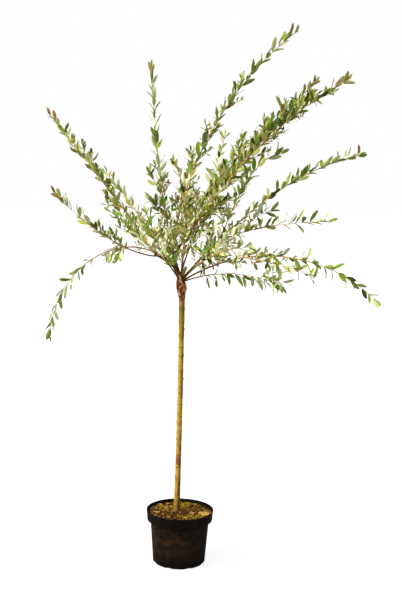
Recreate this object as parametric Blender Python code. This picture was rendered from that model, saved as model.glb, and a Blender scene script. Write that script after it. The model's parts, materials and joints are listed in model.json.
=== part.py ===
"""Potted dappled willow: a standard grafted on a bare stem, in a plastic nursery pot.

Blender 4.5, in metres, +Z up. The origin is the centre of the pot's flat underside, and the pot
stands on z = 0. +X is to the viewer's right and +Y is away from the viewer.

Every limb and every shoot follows one rule: it leaves its parent at an azimuth and a rise, and
the rise turns steadily into the tip's rise along its length. The lower, bare share of a shoot is
a bough. The rest is the stem of a mass of foliage, with side twigs and leaves fused on.
"""

import math
import random
from collections import namedtuple

import bmesh
import bpy
import numpy as np
from mathutils import Matrix, Vector

# Driving dimensions of the pot and its filling, in metres
RIM_RADIUS = 0.120
POT_HEIGHT = 0.192
BASE_RADIUS = 0.0935
SHOULDER_RADIUS = 0.1045
RIM_BAND = 0.036
RIM_STEP = 0.010
RIM_BAND_TAPER = 0.003
WALL = 0.0022
BASE_PLATE = 0.003
DRAIN_COUNT = 8
DRAIN_WIDTH = 0.020
DRAIN_HEIGHT = 0.006
COMPOST_DROP = 0.013
COMPOST_MOUND = 0.006
POT_SIDES = 40
SMOOTH_ANGLE = 40

# Driving dimensions of the stem, in metres: the foot stands on the compost, the lean starts at
# the graft, and the graft union is the swelling whose rings are given by their offsets from it
STEM_FOOT_X = -0.0115
STEM_FOOT_Z = POT_HEIGHT - COMPOST_DROP + COMPOST_MOUND
STEM_BOW = 0.002
GRAFT_LEAN = -0.006
GRAFT_Z = 0.961
UNION_Z = 0.995
FORK_Z = 1.034
FLARE = 0.0032
FOOT_RADIUS = 0.0100
STEM_TAPER = 0.0008
TAPER_HEIGHT = 0.35
UNION_SWELLING = 0.0058
UNION_SPREAD = 0.026
NECK_SWELLING = 0.0030
STEM_SIDES = 12
FOOT_RINGS = (0.0, 0.012, 0.035, 0.075)
STEM_RINGS = (0.36, 0.48, 0.60, 0.72, 0.84, 0.93)
UNION_RINGS = (-0.040, -0.022, -0.006, 0.009, 0.024)

# Gap between neighbours that rest on each other, the cutters' growth that leaves that gap on
# faceted limbs, and the clearance kept round every leaf
SEAT_GAP = 0.0003
LIMB_GROWTH = 0.00042
LEAF_CLEARANCE = 0.0012

# Twigs and boughs meet at shallow angles, where the exact solver turns some of them inside out
LIMB_SOLVER = "MANIFOLD"

# The growth rule of the foliage, in metres and degrees
BOUGH_SIDES = 6
TWIG_SIDES = 3
BOUGH_STEP = 0.045
STEM_STEP = 0.055
FINE_STEP = 0.004
PAIR_GAP = 0.072
CLOSE_PAIR_GAP = 0.046
SIDE_TWIG_GAP = 0.120
SIDE_TWIG_LENGTH = 0.120
SIDE_TWIG_ANGLE = 42
SIDE_TWIG_REACH = 0.45
SIDE_PAIR_GAP = 0.050
LEAF_LENGTH = 0.074
LEAF_WIDTH = 0.022
LEAF_WIDEST = 0.42
LEAF_MIDRIB = 0.26
LEAF_THICKNESS = 0.0017
LEAF_ROOT = 0.0012
LEAF_ANGLE = 42
OUTER_LEAF_ANGLE = 34
OUTER_LEAF_SHARE = 0.76
STEM_RADIUS = 0.0034
TIP_RADIUS = 0.0020
SIDE_TWIG_RADIUS = 0.0026
DECUSSATE = 90

# Colours, as the photograph shows them, in linear values
COLOURS = {
    "black_plastic": ((0.012, 0.011, 0.010), 0.45),
    "compost": ((0.075, 0.050, 0.020), 0.95),
    "green_stem": ((0.420, 0.300, 0.060), 0.55),
    "brown_bark": ((0.110, 0.050, 0.020), 0.80),
    "leaf": ((0.170, 0.240, 0.055), 0.50),
}

# A shoot: its parent, how far along the parent it starts, its azimuth, its rise at the foot and
# at the tip, its length, how late it bends (1 is even, more is later), its bare length, the
# radius of its foot, how far its leaves hang (0 to 1) and how long its side twigs are (0 to 1).
# Angles are in degrees, lengths and the start in metres. On the stem the start is a height above
# the floor.
Shoot = namedtuple(
    "Shoot", "name parent start azimuth rise tip_rise length bend bare radius hang side"
)
SHOOTS = [
    Shoot("centre", "stem", 1.024, 128, 45, 84, 0.77, 0.3, 0.150, 0.0078, 0.0, 0.8),
    Shoot("left", "centre", 0.035, 186, 45, 23, 0.10, 1.0, 0.100, 0.0058, 0.0, 0.0),
    Shoot("upper_right", "centre", 0.092, -28, 54, 25, 0.86, 1.9, 0.130, 0.0046, 0.0, 1.0),
    Shoot("steep_right", "centre", 0.108, 20, 85, 38, 0.93, 0.9, 0.140, 0.0036, 0.0, 0.8),
    Shoot("high_right", "stem", 1.028, 26, 89, 39, 0.89, 0.4, 0.170, 0.0032, 0.0, 1.0),
    Shoot("long_right", "stem", 1.021, 14, 47, 12, 0.81, 1.8, 0.210, 0.0036, 0.0, 0.5),
    Shoot("weeping_right", "stem", 1.014, -20, 34, -41, 0.74, 1.1, 0.230, 0.0032, 0.2, 0.5),
    Shoot("low_right", "stem", 1.012, 6, 24, -24, 0.37, 0.9, 0.080, 0.0026, 1.0, 0.0),
    Shoot("high_left", "left", 0.096, 165, 57, 48, 0.63, 0.3, 0.080, 0.0030, 0.0, 0.7),
    Shoot("mid_left", "left", 0.088, 205, -20, 44, 0.44, 0.3, 0.110, 0.0026, 0.0, 0.3),
    Shoot("weeping_left", "left", 0.078, 166, 46, -84, 0.60, 0.6, 0.250, 0.0024, 0.3, 0.0),
    Shoot("inner_left", "upper_right", 0.085, -113, 89, 24, 0.31, 1.4, 0.040, 0.0022, 0.0, 0.8),
    Shoot("inner_back", "upper_right", 0.120, 70, 30, 59, 0.48, 1.0, 0.070, 0.0022, 0.0, 1.0),
    Shoot("bent_right", "long_right", 0.196, -31, 66, 5, 0.40, 3.5, 0.060, 0.0022, 0.0, 0.7),
    Shoot("level_right", "long_right", 0.175, -20, 48, 3, 0.42, 0.3, 0.070, 0.0022, 0.0, 0.5),
    Shoot("stub", "stem", 1.022, 60, 68, 68, 0.034, 1.0, 0.034, 0.0040, 0.0, 0.0),
    Shoot("front_rise", "stem", 1.024, -84, 56, 26, 0.38, 1.0, 0.090, 0.0030, 0.0, 1.0),
    Shoot("front_right", "stem", 1.014, -62, 37, 4, 0.50, 0.8, 0.110, 0.0030, 0.2, 1.0),
    Shoot("front_left", "stem", 1.010, -125, 48, 14, 0.42, 0.9, 0.110, 0.0030, 0.0, 1.0),
    Shoot("left_front", "left", 0.060, -150, 32, 58, 0.28, 1.0, 0.060, 0.0024, 0.0, 1.0),
    Shoot("back_rise", "stem", 1.022, 84, 64, 40, 0.58, 1.0, 0.110, 0.0032, 0.0, 1.0),
    Shoot("back_right", "stem", 1.008, 56, 40, 2, 0.52, 1.0, 0.130, 0.0030, 0.0, 1.0),
    Shoot("back_left", "stem", 1.004, 112, 38, 6, 0.50, 1.0, 0.130, 0.0030, 0.0, 1.0),
    Shoot("left_back", "left", 0.050, 136, 50, 34, 0.46, 1.0, 0.070, 0.0024, 0.0, 1.0),
]

# A fork: a second leading twig inside a mass, by the same rule, so it has no bough of its own.
# Its start is measured along the shoot that it leaves.
Fork = namedtuple("Fork", "shoot start azimuth rise tip_rise length bend")
FORKS = [
    Fork("weeping_right", 0.250, -40, -4, -25, 0.29, 3.0),
    Fork("high_left", 0.086, 185, 30, 40, 0.14, 0.9),
    Fork("high_left", 0.200, 190, 26, 48, 0.08, 1.4),
    Fork("mid_left", 0.120, 215, -8, -30, 0.07, 1.0),
    Fork("level_right", 0.120, 29, 81, 4, 0.14, 0.6),
    Fork("centre", 0.220, 190, 67, 35, 0.10, 1.4),
    Fork("centre", 0.300, 200, 61, 61, 0.11, 1.0),
    Fork("upper_right", 0.400, -10, 56, 31, 0.35, 1.2),
    Fork("inner_back", 0.200, 30, 48, 64, 0.22, 0.9),
    Fork("front_right", 0.220, -40, 54, 24, 0.14, 0.8),
    Fork("front_left", 0.200, -121, 89, 50, 0.14, 0.6),
]


def clear_scene():
    """Removes every object that the file opened with."""
    for item in list(bpy.data.objects):
        bpy.data.objects.remove(item)


def material(name):
    """A Principled material with the named colour and roughness."""
    if name in bpy.data.materials:
        return bpy.data.materials[name]
    colour, roughness = COLOURS[name]
    made = bpy.data.materials.new(name)
    made.use_nodes = True
    shader = made.node_tree.nodes["Principled BSDF"]
    shader.inputs["Base Color"].default_value = (*colour, 1)
    shader.inputs["Roughness"].default_value = roughness
    shader.inputs["Metallic"].default_value = 0
    return made


def add_object(name, mesh, finish):
    """Links a mesh into the scene as a named object with one finish."""
    made = bpy.data.objects.new(name, mesh)
    bpy.context.scene.collection.objects.link(made)
    made.data.materials.append(material(finish))
    return made


def apply_modifiers(target):
    """Swaps the object's mesh for the one its modifiers make, and removes the modifiers."""
    bpy.context.view_layer.update()
    graph = bpy.context.evaluated_depsgraph_get()
    made = bpy.data.meshes.new_from_object(target.evaluated_get(graph))
    target.modifiers.clear()
    target.data = made


def cut(target, cutter, solver="EXACT"):
    """Takes the cutter's shape out of the target, and removes the cutter."""
    boolean = target.modifiers.new("cut", "BOOLEAN")
    boolean.operation = "DIFFERENCE"
    boolean.solver = solver
    boolean.object = cutter
    apply_modifiers(target)
    bpy.data.objects.remove(cutter)


def keep_largest_body(target):
    """Drops loose scraps and sealed hollows that a Boolean leaves, and keeps the main body."""
    shape = bmesh.new()
    shape.from_mesh(target.data)
    left = set(shape.faces)
    bodies = []
    while left:
        body = {left.pop()}
        reached = list(body)
        while reached:
            face = reached.pop()
            for edge in face.edges:
                for other in edge.link_faces:
                    if other in left:
                        left.remove(other)
                        body.add(other)
                        reached.append(other)
        bodies.append(body)
    bodies.sort(key=lambda body: sum(face.calc_area() for face in body))
    for body in bodies[:-1]:
        bmesh.ops.delete(shape, geom=list(body), context="FACES")
    shape.to_mesh(target.data)
    shape.free()


def round_off(mesh):
    """Shades a round piece smooth, apart from its true corners."""
    mesh.shade_smooth()
    mesh.set_sharp_from_angle(angle=math.radians(SMOOTH_ANGLE))


def turned(name, profile, finish, sides=POT_SIDES):
    """A solid of revolution about +Z, from (radius, height) points that run from axis to axis."""
    shape = bmesh.new()
    points = [shape.verts.new((radius, 0, height)) for radius, height in profile]
    edges = [shape.edges.new(pair) for pair in zip(points, points[1:])]
    bmesh.ops.spin(
        shape,
        geom=points + edges,
        cent=(0, 0, 0),
        axis=(0, 0, 1),
        angle=2 * math.pi,
        steps=sides,
        use_merge=True,
    )
    bmesh.ops.remove_doubles(shape, verts=shape.verts, dist=1e-6)
    bmesh.ops.recalc_face_normals(shape, faces=shape.faces)
    mesh = bpy.data.meshes.new(name)
    shape.to_mesh(mesh)
    shape.free()
    round_off(mesh)
    return add_object(name, mesh, finish)


def wall_radius(height):
    """Outer radius of the pot's body, which widens evenly from the base to the shoulder."""
    share = height / (POT_HEIGHT - RIM_BAND - RIM_STEP)
    return BASE_RADIUS + (SHOULDER_RADIUS - BASE_RADIUS) * share


def make_pot():
    """The thin plastic pot: a tapered wall, a wider band below the rim, and drain notches."""
    band_foot = POT_HEIGHT - RIM_BAND
    step_foot = band_foot - RIM_STEP
    band_radius = RIM_RADIUS - RIM_BAND_TAPER
    profile = [
        (0, 0),
        (BASE_RADIUS - 0.004, 0),
        (BASE_RADIUS, 0.004),
        (SHOULDER_RADIUS, step_foot),
        (band_radius, band_foot),
        (RIM_RADIUS, POT_HEIGHT - 0.003),
        (RIM_RADIUS, POT_HEIGHT),
        (RIM_RADIUS - WALL, POT_HEIGHT),
        (band_radius - WALL, band_foot),
        (SHOULDER_RADIUS - WALL, step_foot),
        (wall_radius(BASE_PLATE) - WALL, BASE_PLATE),
        (0, BASE_PLATE),
    ]
    pot = turned("pot", profile, "black_plastic")
    for index in range(DRAIN_COUNT):
        angle = 2 * math.pi * (index + 0.5) / DRAIN_COUNT
        shape = bmesh.new()
        bmesh.ops.create_cube(shape, size=1)
        size = Matrix.Diagonal((0.016, DRAIN_WIDTH, 2 * DRAIN_HEIGHT, 1))
        place = Matrix.Rotation(angle, 4, "Z") @ Matrix.Translation((BASE_RADIUS, 0, 0))
        bmesh.ops.transform(shape, matrix=place @ size, verts=shape.verts)
        mesh = bpy.data.meshes.new("drain_cutter")
        shape.to_mesh(mesh)
        shape.free()
        cut(pot, add_object("drain_cutter", mesh, "black_plastic"))
    return pot


def make_compost():
    """The compost, a little below the rim, with a low mound round the stem."""
    gap = WALL + 0.0008
    floor = BASE_PLATE + SEAT_GAP
    band_foot = POT_HEIGHT - RIM_BAND
    step_foot = band_foot - RIM_STEP
    top = POT_HEIGHT - COMPOST_DROP
    band_radius = RIM_RADIUS - RIM_BAND_TAPER
    top_radius = band_radius + RIM_BAND_TAPER * (top - band_foot) / RIM_BAND
    profile = [
        (0, floor),
        (wall_radius(BASE_PLATE) - gap, floor),
        (SHOULDER_RADIUS - gap, step_foot),
        (band_radius - gap, band_foot),
        (top_radius - gap, top),
        (top_radius * 0.62, top + COMPOST_MOUND * 0.35),
        (0.028, top + COMPOST_MOUND),
        (0, top + COMPOST_MOUND),
    ]
    return turned("compost", profile, "compost")


def stem_centre(height):
    """The stem's centre at a height: nearly upright, bowed a little, and leaning at the graft."""
    share = (height - STEM_FOOT_Z) / (FORK_Z - STEM_FOOT_Z)
    lean = GRAFT_LEAN * max(0.0, (height - GRAFT_Z) / (FORK_Z - GRAFT_Z)) ** 0.7
    return Vector((STEM_FOOT_X + STEM_BOW * math.sin(math.pi * share) + lean, 0, height))


def stem_radius(height):
    """The stem's radius: a root flare, a slow taper, and the swelling of the graft union."""
    above = height - STEM_FOOT_Z
    flare = FLARE * math.exp(-above / 0.030)
    taper = FOOT_RADIUS - STEM_TAPER * min(1.0, above / TAPER_HEIGHT)
    graft = UNION_SWELLING * math.exp(-(((height - UNION_Z) / UNION_SPREAD) ** 2))
    neck = NECK_SWELLING * max(0.0, (height - GRAFT_Z) / (FORK_Z - GRAFT_Z))
    return taper + flare + graft + neck


def ring_frames(line):
    """For each point of a line: its tangent and two directions across it, carried along the
    line with no twist."""
    frames = []
    side = None
    for index in range(len(line)):
        after = line[min(index + 1, len(line) - 1)]
        before = line[max(index - 1, 0)]
        tangent = (after - before).normalized()
        if side is None:
            side = tangent.orthogonal().normalized()
        side = (side - tangent * side.dot(tangent)).normalized()
        frames.append((tangent, side, tangent.cross(side)))
    return frames


def tube(name, line, radii, sides, finish):
    """A closed tube of flat-ended rings along a line."""
    shape = bmesh.new()
    rings = []
    for point, radius, (_, side, across) in zip(line, radii, ring_frames(line)):
        ring = []
        for index in range(sides):
            angle = 2 * math.pi * index / sides
            offset = side * math.cos(angle) + across * math.sin(angle)
            ring.append(shape.verts.new(point + offset * radius))
        rings.append(ring)
    shape.faces.new(reversed(rings[0]))
    shape.faces.new(rings[-1])
    for lower, upper in zip(rings, rings[1:]):
        for index in range(sides):
            after = (index + 1) % sides
            shape.faces.new((lower[index], lower[after], upper[after], upper[index]))
    mesh = bpy.data.meshes.new(name)
    shape.to_mesh(mesh)
    shape.free()
    if sides > TWIG_SIDES:
        round_off(mesh)
    return add_object(name, mesh, finish)


def make_stem():
    """The bare stem, from its flat cut on the compost to the fork above the graft."""
    foot = STEM_FOOT_Z + SEAT_GAP
    heights = [foot + offset for offset in FOOT_RINGS] + list(STEM_RINGS)
    heights += [UNION_Z + offset for offset in UNION_RINGS] + [FORK_Z]
    line = [stem_centre(height) for height in heights]
    radii = [stem_radius(height) for height in heights]
    return tube("stem", line, radii, STEM_SIDES, "green_stem")


def grown_line(root, growth, step):
    """Points along a shoot or fork, from its root, a step apart."""
    count = max(3, round(growth.length / step))
    piece = growth.length / count
    azimuth = math.radians(growth.azimuth)
    across = Vector((math.cos(azimuth), math.sin(azimuth), 0))
    line = [root.copy()]
    for index in range(count):
        share = ((index + 0.5) / count) ** growth.bend
        rise = math.radians(growth.rise + (growth.tip_rise - growth.rise) * share)
        heading = across * math.cos(rise) + Vector((0, 0, math.sin(rise)))
        line.append(line[-1] + heading * piece)
    return line


def along(line, distance):
    """The point at a distance along a finely stepped line, and the direction there."""
    piece = (line[1] - line[0]).length
    place = min(max(distance / piece, 0.0), len(line) - 1.001)
    index = int(place)
    point = line[index].lerp(line[index + 1], place - index)
    return point, (line[index + 1] - line[index]).normalized()


def fine_lines():
    """Every shoot's centre line in fine steps, worked out from parent to child."""
    lines = {}
    for shoot in SHOOTS:
        if shoot.parent == "stem":
            root = stem_centre(shoot.start)
        else:
            root, _ = along(lines[shoot.parent], shoot.start)
        lines[shoot.name] = grown_line(root, shoot, FINE_STEP)
    return lines


def bough_radius(shoot, distance):
    """A bough's radius: from the shoot's foot to the size of the twig that goes on from it."""
    end = STEM_RADIUS * 0.9 if shoot.bare < shoot.length else shoot.radius * 0.8
    return shoot.radius + (end - shoot.radius) * distance / shoot.bare


def stations(start, end, step):
    """Evenly spaced distances from start to end, about a step apart."""
    count = max(2, round((end - start) / step))
    return [start + (end - start) * index / count for index in range(count + 1)]


def limb_tube(name, shoot, line, grow=0.0):
    """The bough of a shoot, or with grow the cutter that keeps its neighbours clear of it."""
    end = shoot.bare + grow
    distances = stations(0.0, shoot.bare, BOUGH_STEP)
    distances[-1] = end
    points = [along(line, distance)[0] for distance in distances]
    radii = [bough_radius(shoot, distance) + grow for distance in distances]
    return tube(name, points, radii, BOUGH_SIDES, "brown_bark")


def boxes_meet(one, other):
    """Whether two objects' boxes overlap."""
    lows, highs = [], []
    for item in (one, other):
        corners = [vertex.co for vertex in item.data.vertices]
        lows.append([min(corner[axis] for corner in corners) for axis in range(3)])
        highs.append([max(corner[axis] for corner in corners) for axis in range(3)])
    return all(
        lows[0][axis] < highs[1][axis] and lows[1][axis] < highs[0][axis] for axis in range(3)
    )


def make_boughs(lines):
    """Each shoot's bare wood, cut to seat on the stem and on the limbs before it."""
    heights = [STEM_RINGS[-1]] + [UNION_Z + offset for offset in UNION_RINGS]
    heights += [FORK_Z + LIMB_GROWTH]
    stem_line = [stem_centre(height) for height in heights]
    stem_radii = [stem_radius(min(height, FORK_Z)) + LIMB_GROWTH for height in heights]
    for order, shoot in enumerate(SHOOTS):
        bough = limb_tube(f"bough_{shoot.name}", shoot, lines[shoot.name])
        stem_cutter = tube("cutter", stem_line, stem_radii, STEM_SIDES, "brown_bark")
        cut(bough, stem_cutter, LIMB_SOLVER)
        for earlier in SHOOTS[:order]:
            cutter = limb_tube("cutter", earlier, lines[earlier.name], grow=LIMB_GROWTH)
            if boxes_meet(bough, cutter):
                cut(bough, cutter, LIMB_SOLVER)
            else:
                bpy.data.objects.remove(cutter)
        keep_largest_body(bough)


class Space:
    """What is already placed, as round-ended rods, so that new growth can keep clear of it."""

    def __init__(self):
        self.starts, self.ends, self.radii, self.owners = [], [], [], []
        self.arrays = None

    def add(self, start, end, radius, owner):
        self.starts.append(tuple(start))
        self.ends.append(tuple(end))
        self.radii.append(radius)
        self.owners.append(owner)
        self.arrays = None

    def add_line(self, line, radius, owner):
        for start, end in zip(line, line[1:]):
            self.add(start, end, radius, owner)

    def is_clear(self, start, end, radius, owner=None):
        """Whether a new rod keeps its clearance from everything, or from all that its own mass
        doesn't own."""
        if self.arrays is None:
            self.arrays = (
                np.array(self.starts),
                np.array(self.ends),
                np.array(self.radii),
                np.array(self.owners),
            )
        starts, ends, radii, owners = self.arrays
        others = owners != (owner or "")
        gaps = rod_distances(np.array(start), np.array(end), starts[others], ends[others])
        return bool((gaps > radii[others] + radius + LEAF_CLEARANCE).all())


def rod_distances(start, end, starts, ends):
    """The least distance from one segment to each of many."""
    one, many = end - start, ends - starts
    between = start - starts
    one_one = one @ one
    many_many = (many * many).sum(1)
    one_many = many @ one
    one_between = between @ one
    many_between = (many * between).sum(1)
    spread = one_one * many_many - one_many**2
    safe = np.where(spread > 1e-14, spread, 1)
    share = np.where(
        spread > 1e-14, (one_many * many_between - many_many * one_between) / safe, 0
    )
    share = np.clip(share, 0, 1)
    for _ in range(2):
        other = np.clip((one_many * share + many_between) / many_many, 0, 1)
        share = np.clip((one_many * other - one_between) / one_one, 0, 1)
    nearest = start + share[:, None] * one
    found = starts + other[:, None] * many
    return np.linalg.norm(nearest - found, axis=1)


def leaf_mesh(root, heading, face, length, width):
    """A pointed leaf of six faces: its root, its two widest points, a raised midrib and a tip."""
    side = heading.cross(face).normalized()
    widest = root + heading * length * LEAF_WIDEST
    points = [
        root - heading * LEAF_ROOT,
        widest - side * width * 0.5,
        widest + side * width * 0.5,
        root + heading * length * LEAF_MIDRIB + face * LEAF_THICKNESS,
        root + heading * length,
    ]
    shape = bmesh.new()
    corners = [shape.verts.new(point) for point in points]
    for order in ((0, 1, 3), (0, 3, 2), (0, 2, 1), (4, 3, 1), (4, 2, 3), (4, 1, 2)):
        shape.faces.new([corners[index] for index in order])
    bmesh.ops.recalc_face_normals(shape, faces=shape.faces)
    mesh = bpy.data.meshes.new("leaf")
    shape.to_mesh(mesh)
    shape.free()
    return mesh


def leaf_lift(rise):
    """How far a leaf turns up, on a shoot that rises, or hangs, on one that droops."""
    share = min(1.0, max(0.0, (math.degrees(rise) + 25) / 35))
    return -0.55 + 1.05 * share


class Mass:
    """One mass of foliage: its leading twigs, side twigs and leaves, each kept if it is clear."""

    def __init__(self, shoot, line, space, seed):
        self.shoot = shoot
        self.line = line
        self.space = space
        self.chance = random.Random(seed)
        self.parts = []

    def add_twig(self, line, foot_radius, tip_radius, distances):
        """A three-sided twig through the points at some distances along a line."""
        points = [along(line, distance)[0] for distance in distances]
        last = len(points) - 1
        radii = [
            foot_radius + (tip_radius - foot_radius) * index / last for index in range(last + 1)
        ]
        self.parts.append(tube("twig", points, radii, TWIG_SIDES, "leaf"))
        self.space.add_line(points, foot_radius, self.shoot.name)

    def add_leaf(self, point, tangent, turn, size, angle):
        """A leaf at a point on a twig, turned a little round it where other growth is near."""
        roll = self.chance.uniform(-0.6, 0.6)
        for shift in (0, 38, -38, 76, -76):
            if self.try_leaf(point, tangent, turn + shift, size, angle, roll):
                return

    def try_leaf(self, point, tangent, turn, size, angle, roll):
        """Adds the leaf if its space is clear, and tells whether it was."""
        side = tangent.orthogonal().normalized()
        outward = Matrix.Rotation(math.radians(turn), 3, tangent) @ side
        open_angle = math.radians(angle + self.chance.uniform(-7, 7))
        lift = leaf_lift(math.asin(max(-1.0, min(1.0, tangent.z)))) - 1.6 * self.shoot.hang
        heading = tangent * math.cos(open_angle) + outward * math.sin(open_angle)
        heading = (heading + Vector((0, 0, lift * 0.45))).normalized()
        face = (tangent * 0.9 + Vector((0, 0, 0.7)) - heading * 0.2).normalized()
        face = (face - heading * face.dot(heading)).normalized()
        face = Matrix.Rotation(roll, 3, heading) @ face
        length = LEAF_LENGTH * size * self.chance.uniform(0.88, 1.12)
        width = LEAF_WIDTH * size
        start = point + heading * width * 0.5
        middle = point + heading * length * 0.42
        end = point + heading * (length - width * 0.3)
        if not self.space.is_clear(start, middle, width * 0.5, self.shoot.name):
            return False
        if not self.space.is_clear(middle, end, width * 0.4):
            return False
        mesh = leaf_mesh(point, heading, face, length, width)
        self.parts.append(add_object("leaf", mesh, "leaf"))
        self.space.add(start, end, width * 0.5, self.shoot.name)
        return True

    def add_pairs(self, line, distances, size, turn):
        """Opposite pairs of leaves, each pair turned across the one before it."""
        last = max(len(distances) - 1, 1)
        for order, distance in enumerate(distances):
            point, tangent = along(line, distance)
            outer = (order / last) ** 1.5
            shrink = 1.0 - (1.0 - OUTER_LEAF_SHARE) * outer
            angle = LEAF_ANGLE + (OUTER_LEAF_ANGLE - LEAF_ANGLE) * outer
            for half in (0, 180):
                roll = turn + DECUSSATE * order + half + self.chance.uniform(-22, 22)
                self.add_leaf(point, tangent, roll, size * shrink, angle)

    def add_tip(self, line, length, size):
        """The young leaf that carries on from a twig's tip."""
        point, tangent = along(line, length - 0.006)
        self.add_leaf(point, tangent, 20, size, 6)

    def add_side_twig(self, line, distance, length, turn):
        """A short side twig with its leaves, if its whole length is clear."""
        root, tangent = along(line, distance)
        side = tangent.orthogonal().normalized()
        outward = Matrix.Rotation(math.radians(turn), 3, tangent) @ side
        angle = math.radians(SIDE_TWIG_ANGLE + self.chance.uniform(-10, 10))
        heading = tangent * math.cos(angle) + outward * math.sin(angle)
        heading = (heading + Vector((0, 0, 0.22))).normalized()
        tip = root + heading * length
        start = root + heading * 0.012
        if not self.space.is_clear(start, tip, SIDE_TWIG_RADIUS, self.shoot.name):
            return
        count = max(2, round(length / FINE_STEP))
        twig = [root.lerp(tip, index / count) for index in range(count + 1)]
        self.add_twig(twig, SIDE_TWIG_RADIUS, TIP_RADIUS, [0.0, length])
        self.add_pairs(twig, stations(0.030, length - 0.012, SIDE_PAIR_GAP), 0.80, turn + 35)
        self.add_tip(twig, length, 0.55)

    def grow(self):
        """The side twigs first, and then the stem's own leaves, from the foot to the tip."""
        shoot = self.shoot
        begin = shoot.bare + SEAT_GAP + 0.0001
        end = shoot.length
        leafy = end - begin
        for distance in stations(begin + 0.030, begin + SIDE_TWIG_REACH * leafy, SIDE_TWIG_GAP):
            share = (distance - begin) / leafy
            length = SIDE_TWIG_LENGTH * (1.1 - 1.1 * share) * self.chance.uniform(0.75, 1.2)
            turn = self.chance.uniform(0, 360)
            if shoot.side > 0:
                self.add_side_twig(self.line, distance, length * shoot.side, turn)
        gap = PAIR_GAP if shoot.side > 0 else CLOSE_PAIR_GAP
        pairs = stations(begin + 0.024, end - 0.024, gap)
        self.add_pairs(self.line, pairs, 1.0, self.chance.uniform(0, 90))
        self.add_tip(self.line, end, 0.55)

    def grow_leaders(self):
        """The stem and any forks. They come before all leaves, so that none stands in their way."""
        shoot = self.shoot
        begin = shoot.bare + SEAT_GAP + 0.0001
        distances = stations(begin, shoot.length, STEM_STEP)
        self.add_twig(self.line, STEM_RADIUS, TIP_RADIUS, distances)
        self.forks = []
        for fork in FORKS:
            if fork.shoot == shoot.name:
                root, _ = along(self.line, fork.start)
                fork_line = grown_line(root, fork, FINE_STEP)
                self.add_twig(
                    fork_line, SIDE_TWIG_RADIUS, TIP_RADIUS, stations(0.0, fork.length, STEM_STEP)
                )
                self.forks.append((fork, fork_line))

    def grow_forks(self):
        """The leaves along each fork."""
        for fork, line in self.forks:
            pairs = stations(0.036, fork.length - 0.022, PAIR_GAP)
            self.add_pairs(line, pairs, 0.9, self.chance.uniform(0, 90))
            self.add_tip(line, fork.length, 0.5)

    def join(self, name):
        """Fuses every twig and leaf into one solid, and removes the pieces."""
        trunk, *rest = self.parts
        pieces = bpy.data.collections.new(name)
        bpy.context.scene.collection.children.link(pieces)
        for piece in rest:
            bpy.context.scene.collection.objects.unlink(piece)
            pieces.objects.link(piece)
        boolean = trunk.modifiers.new("join", "BOOLEAN")
        boolean.operation = "UNION"
        boolean.operand_type = "COLLECTION"
        boolean.solver = LIMB_SOLVER
        boolean.collection = pieces
        apply_modifiers(trunk)
        for piece in rest:
            bpy.data.objects.remove(piece)
        bpy.data.collections.remove(pieces)
        keep_largest_body(trunk)
        trunk.name = name
        trunk.data.name = name


def make_foliage(lines):
    """One mass on each bough that has a leafy length."""
    space = Space()
    heights = [UNION_Z - 0.12, UNION_Z - 0.04, UNION_Z, FORK_Z]
    space.add_line([stem_centre(height) for height in heights], 0.016, "stem")
    for shoot in SHOOTS:
        distances = stations(0.0, shoot.bare, BOUGH_STEP / 2)
        points = [along(lines[shoot.name], distance)[0] for distance in distances]
        space.add_line(points, shoot.radius, f"bough_{shoot.name}")
    leafy = [shoot for shoot in SHOOTS if shoot.bare < shoot.length]
    masses = [Mass(shoot, lines[shoot.name], space, seed) for seed, shoot in enumerate(leafy)]
    for mass in masses:
        mass.grow_leaders()
    for mass in masses:
        mass.grow_forks()
        mass.grow()
    for mass in masses:
        mass.join(f"foliage_{mass.shoot.name}")


def main():
    clear_scene()
    make_pot()
    make_compost()
    make_stem()
    lines = fine_lines()
    make_boughs(lines)
    make_foliage(lines)


main()
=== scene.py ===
# %% [markdown]
# # A potted dappled willow, dressed for the camera
#
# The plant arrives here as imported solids: a pot, its compost, one slim stem, bare boughs and
# masses of coarse leaves. This lesson keeps their places and gives each its real surface. Every
# finished piece sits at the origin, with its place in its mesh, and rides on the plant's body.

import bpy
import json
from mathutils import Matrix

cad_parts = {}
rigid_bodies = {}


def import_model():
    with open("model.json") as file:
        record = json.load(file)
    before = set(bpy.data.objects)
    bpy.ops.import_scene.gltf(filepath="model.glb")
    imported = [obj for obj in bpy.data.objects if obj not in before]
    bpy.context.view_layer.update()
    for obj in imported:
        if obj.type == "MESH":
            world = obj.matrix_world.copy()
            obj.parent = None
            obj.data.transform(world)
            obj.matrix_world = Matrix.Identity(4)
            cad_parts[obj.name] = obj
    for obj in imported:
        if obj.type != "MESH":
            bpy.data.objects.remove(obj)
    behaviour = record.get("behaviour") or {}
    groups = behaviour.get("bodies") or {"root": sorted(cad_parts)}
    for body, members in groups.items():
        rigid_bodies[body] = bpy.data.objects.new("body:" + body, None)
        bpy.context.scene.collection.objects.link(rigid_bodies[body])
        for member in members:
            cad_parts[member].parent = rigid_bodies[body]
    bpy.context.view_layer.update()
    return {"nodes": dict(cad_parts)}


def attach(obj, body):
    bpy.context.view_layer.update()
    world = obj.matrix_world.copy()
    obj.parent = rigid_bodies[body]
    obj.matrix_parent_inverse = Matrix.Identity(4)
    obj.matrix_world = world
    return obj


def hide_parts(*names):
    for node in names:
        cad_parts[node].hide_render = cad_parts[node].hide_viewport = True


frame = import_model()

# %% Tools for the lesson
import json
import math
import random
from collections import namedtuple
from functools import lru_cache

import bmesh
import bpy
import numpy as np
from mathutils import Matrix, Vector, noise

BODY = "root"
FOLIAGE_NODES = sorted(name for name in frame["nodes"] if name.startswith("foliage_"))
BOUGH_NODES = sorted(name for name in frame["nodes"] if name.startswith("bough_"))
print(len(BOUGH_NODES), "boughs and", len(FOLIAGE_NODES), "masses of foliage")

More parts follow.
